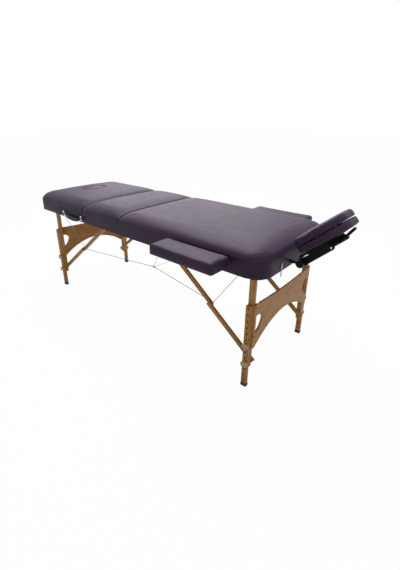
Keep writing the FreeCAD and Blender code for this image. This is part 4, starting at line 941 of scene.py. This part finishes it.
handleSettings = {
    "middle": -457, "y": -347, "pivotZ": 629, "span": 102, "wire": 2.6, "ring": 5.8, "overlap": 1,
    # the wire drops to a height, turns in by a radius and ends inside the grip
    "bendZ": 613, "bend": 7, "bendSteps": 5, "wireEnd": (66, 606), "sections": (
        (-72, 606.5, 6.0), (-68, 606, 9.0), (-58, 605, 10.6), (-36, 602.5, 12.2), (0, 601, 13.0),
        (36, 602.5, 12.2), (58, 605, 10.6), (68, 606, 9.0), (72, 606.5, 6.0)),
}


def makeHandle(settings):
    # grip drawn out section by section along the table, on a chromed wire
    centre, y = settings["middle"], settings["y"]
    first = settings["sections"][0]
    clearSelection()
    bpy.ops.mesh.primitive_circle_add(vertices=28, radius=first[2] / 1000, fill_type="NGON",
                                      location=mm(centre + first[0], y, first[1]),
                                      rotation=(0, math.pi / 2, 0))
    grip = settle(bpy.context.object, "carryGrip")
    editWhere(grip, "FACE", lambda face: True)
    for (x0, z0, r0), (x1, z1, r1) in zip(settings["sections"], settings["sections"][1:]):
        move = ((x1 - x0) / 1000, 0, (z1 - z0) / 1000)
        bpy.ops.mesh.extrude_region_move(TRANSFORM_OT_translate={"value": move})
        bpy.ops.transform.resize(value=(1, r1 / r0, r1 / r0), center_override=mm(centre + x1, y, z1))
    bpy.ops.mesh.select_all(action="SELECT")
    bpy.ops.mesh.normals_make_consistent(inside=False)
    leaveEdit()
    soft = grip.modifiers.new("soft", "SUBSURF")
    soft.levels = soft.render_levels = 1
    applyModifiers(grip)
    dress(grip, gripFoam, "handle", ("carry_handle",), 50)
    wires = []
    for sign in (-1, 1):
        x = centre + sign * settings["span"]
        bendZ, bend, steps = settings["bendZ"], settings["bend"], settings["bendSteps"]
        route = [(x, settings["pivotZ"] - settings["ring"] + settings["overlap"]), (x, bendZ)]
        for i in range(1, steps + 1):
            a = math.radians(90 * i / steps)
            route.append((x - sign * bend * (1 - math.cos(a)), bendZ - bend * math.sin(a)))
        route.append((centre + sign * settings["wireEnd"][0], settings["wireEnd"][1]))
        wires.append(tubeAlong("wire", [mm(px, y, pz) for px, pz in route], settings["wire"] / 1000, 12))
        clearSelection()
        bpy.ops.mesh.primitive_torus_add(location=mm(x, y, settings["pivotZ"]), rotation=(0, math.pi / 2, 0),
                                         major_radius=settings["ring"] / 1000,
                                         minor_radius=settings["wire"] / 1000,
                                         major_segments=32, minor_segments=12)
        wires.append(settle(bpy.context.object, "ring"))
    dress(joinAll("carryLoops", wires), chromePlate, "handle", ("carry_handle",), 60)


makeHandle(handleSettings)

latchSettings = {
    "x": 931.8, "spread": 180, "studZ": 628, "width": 15, "thick": 2.6, "plate": (606, 635), "corner": 6.2,
    "bore": 3.2, "edge": 0.4, "loop": (571, 612), "loopHalf": (6.4, 5.2), "loopSteps": 32, "wire": 1.4,
}


def makeLatch(label, side, settings):
    # strap plate on its stud with a wire bail below
    x, y, w, t = settings["x"], side * settings["spread"], settings["width"] / 2, settings["thick"] / 2
    low, high = settings["plate"]
    plate = addBlock("plate", mm(x - t, y - w, low), mm(x + t, y + w, high))
    editWhere(plate, "EDGE", lambda a, b: abs(a.x - b.x) > hair)
    bpy.ops.mesh.bevel(offset=settings["corner"] / 1000, segments=5, affect="EDGES")
    leaveEdit()
    start, end = [mm(x + way * settings["thick"] * 2, y, settings["studZ"]) for way in (-1, 1)]
    carve(plate, addRod("bore", start, end, settings["bore"] / 1000, 24))
    roundEdges(plate, settings["edge"] / 1000, 2)
    (bottom, top), (below, above) = settings["loop"], settings["loopHalf"]
    bail = []
    for i in range(settings["loopSteps"]):
        a = 2 * math.pi * i / settings["loopSteps"]
        reach = above if math.sin(a) > 0 else below
        bail.append(mm(x, y + reach * math.cos(a), (bottom + top) / 2 + (top - bottom) / 2 * math.sin(a)))
    wire = tubeAlong("bail", bail, settings["wire"] / 1000, 10, closed=True)
    dress(joinAll(label + "LatchBail", [plate, wire]), zincSteel, "latch_" + label,
          (label + "_latch",))


for side, label in bothSides:
    makeLatch(label, side, latchSettings)
print("handle and latches made")

bpy.context.view_layer.update()
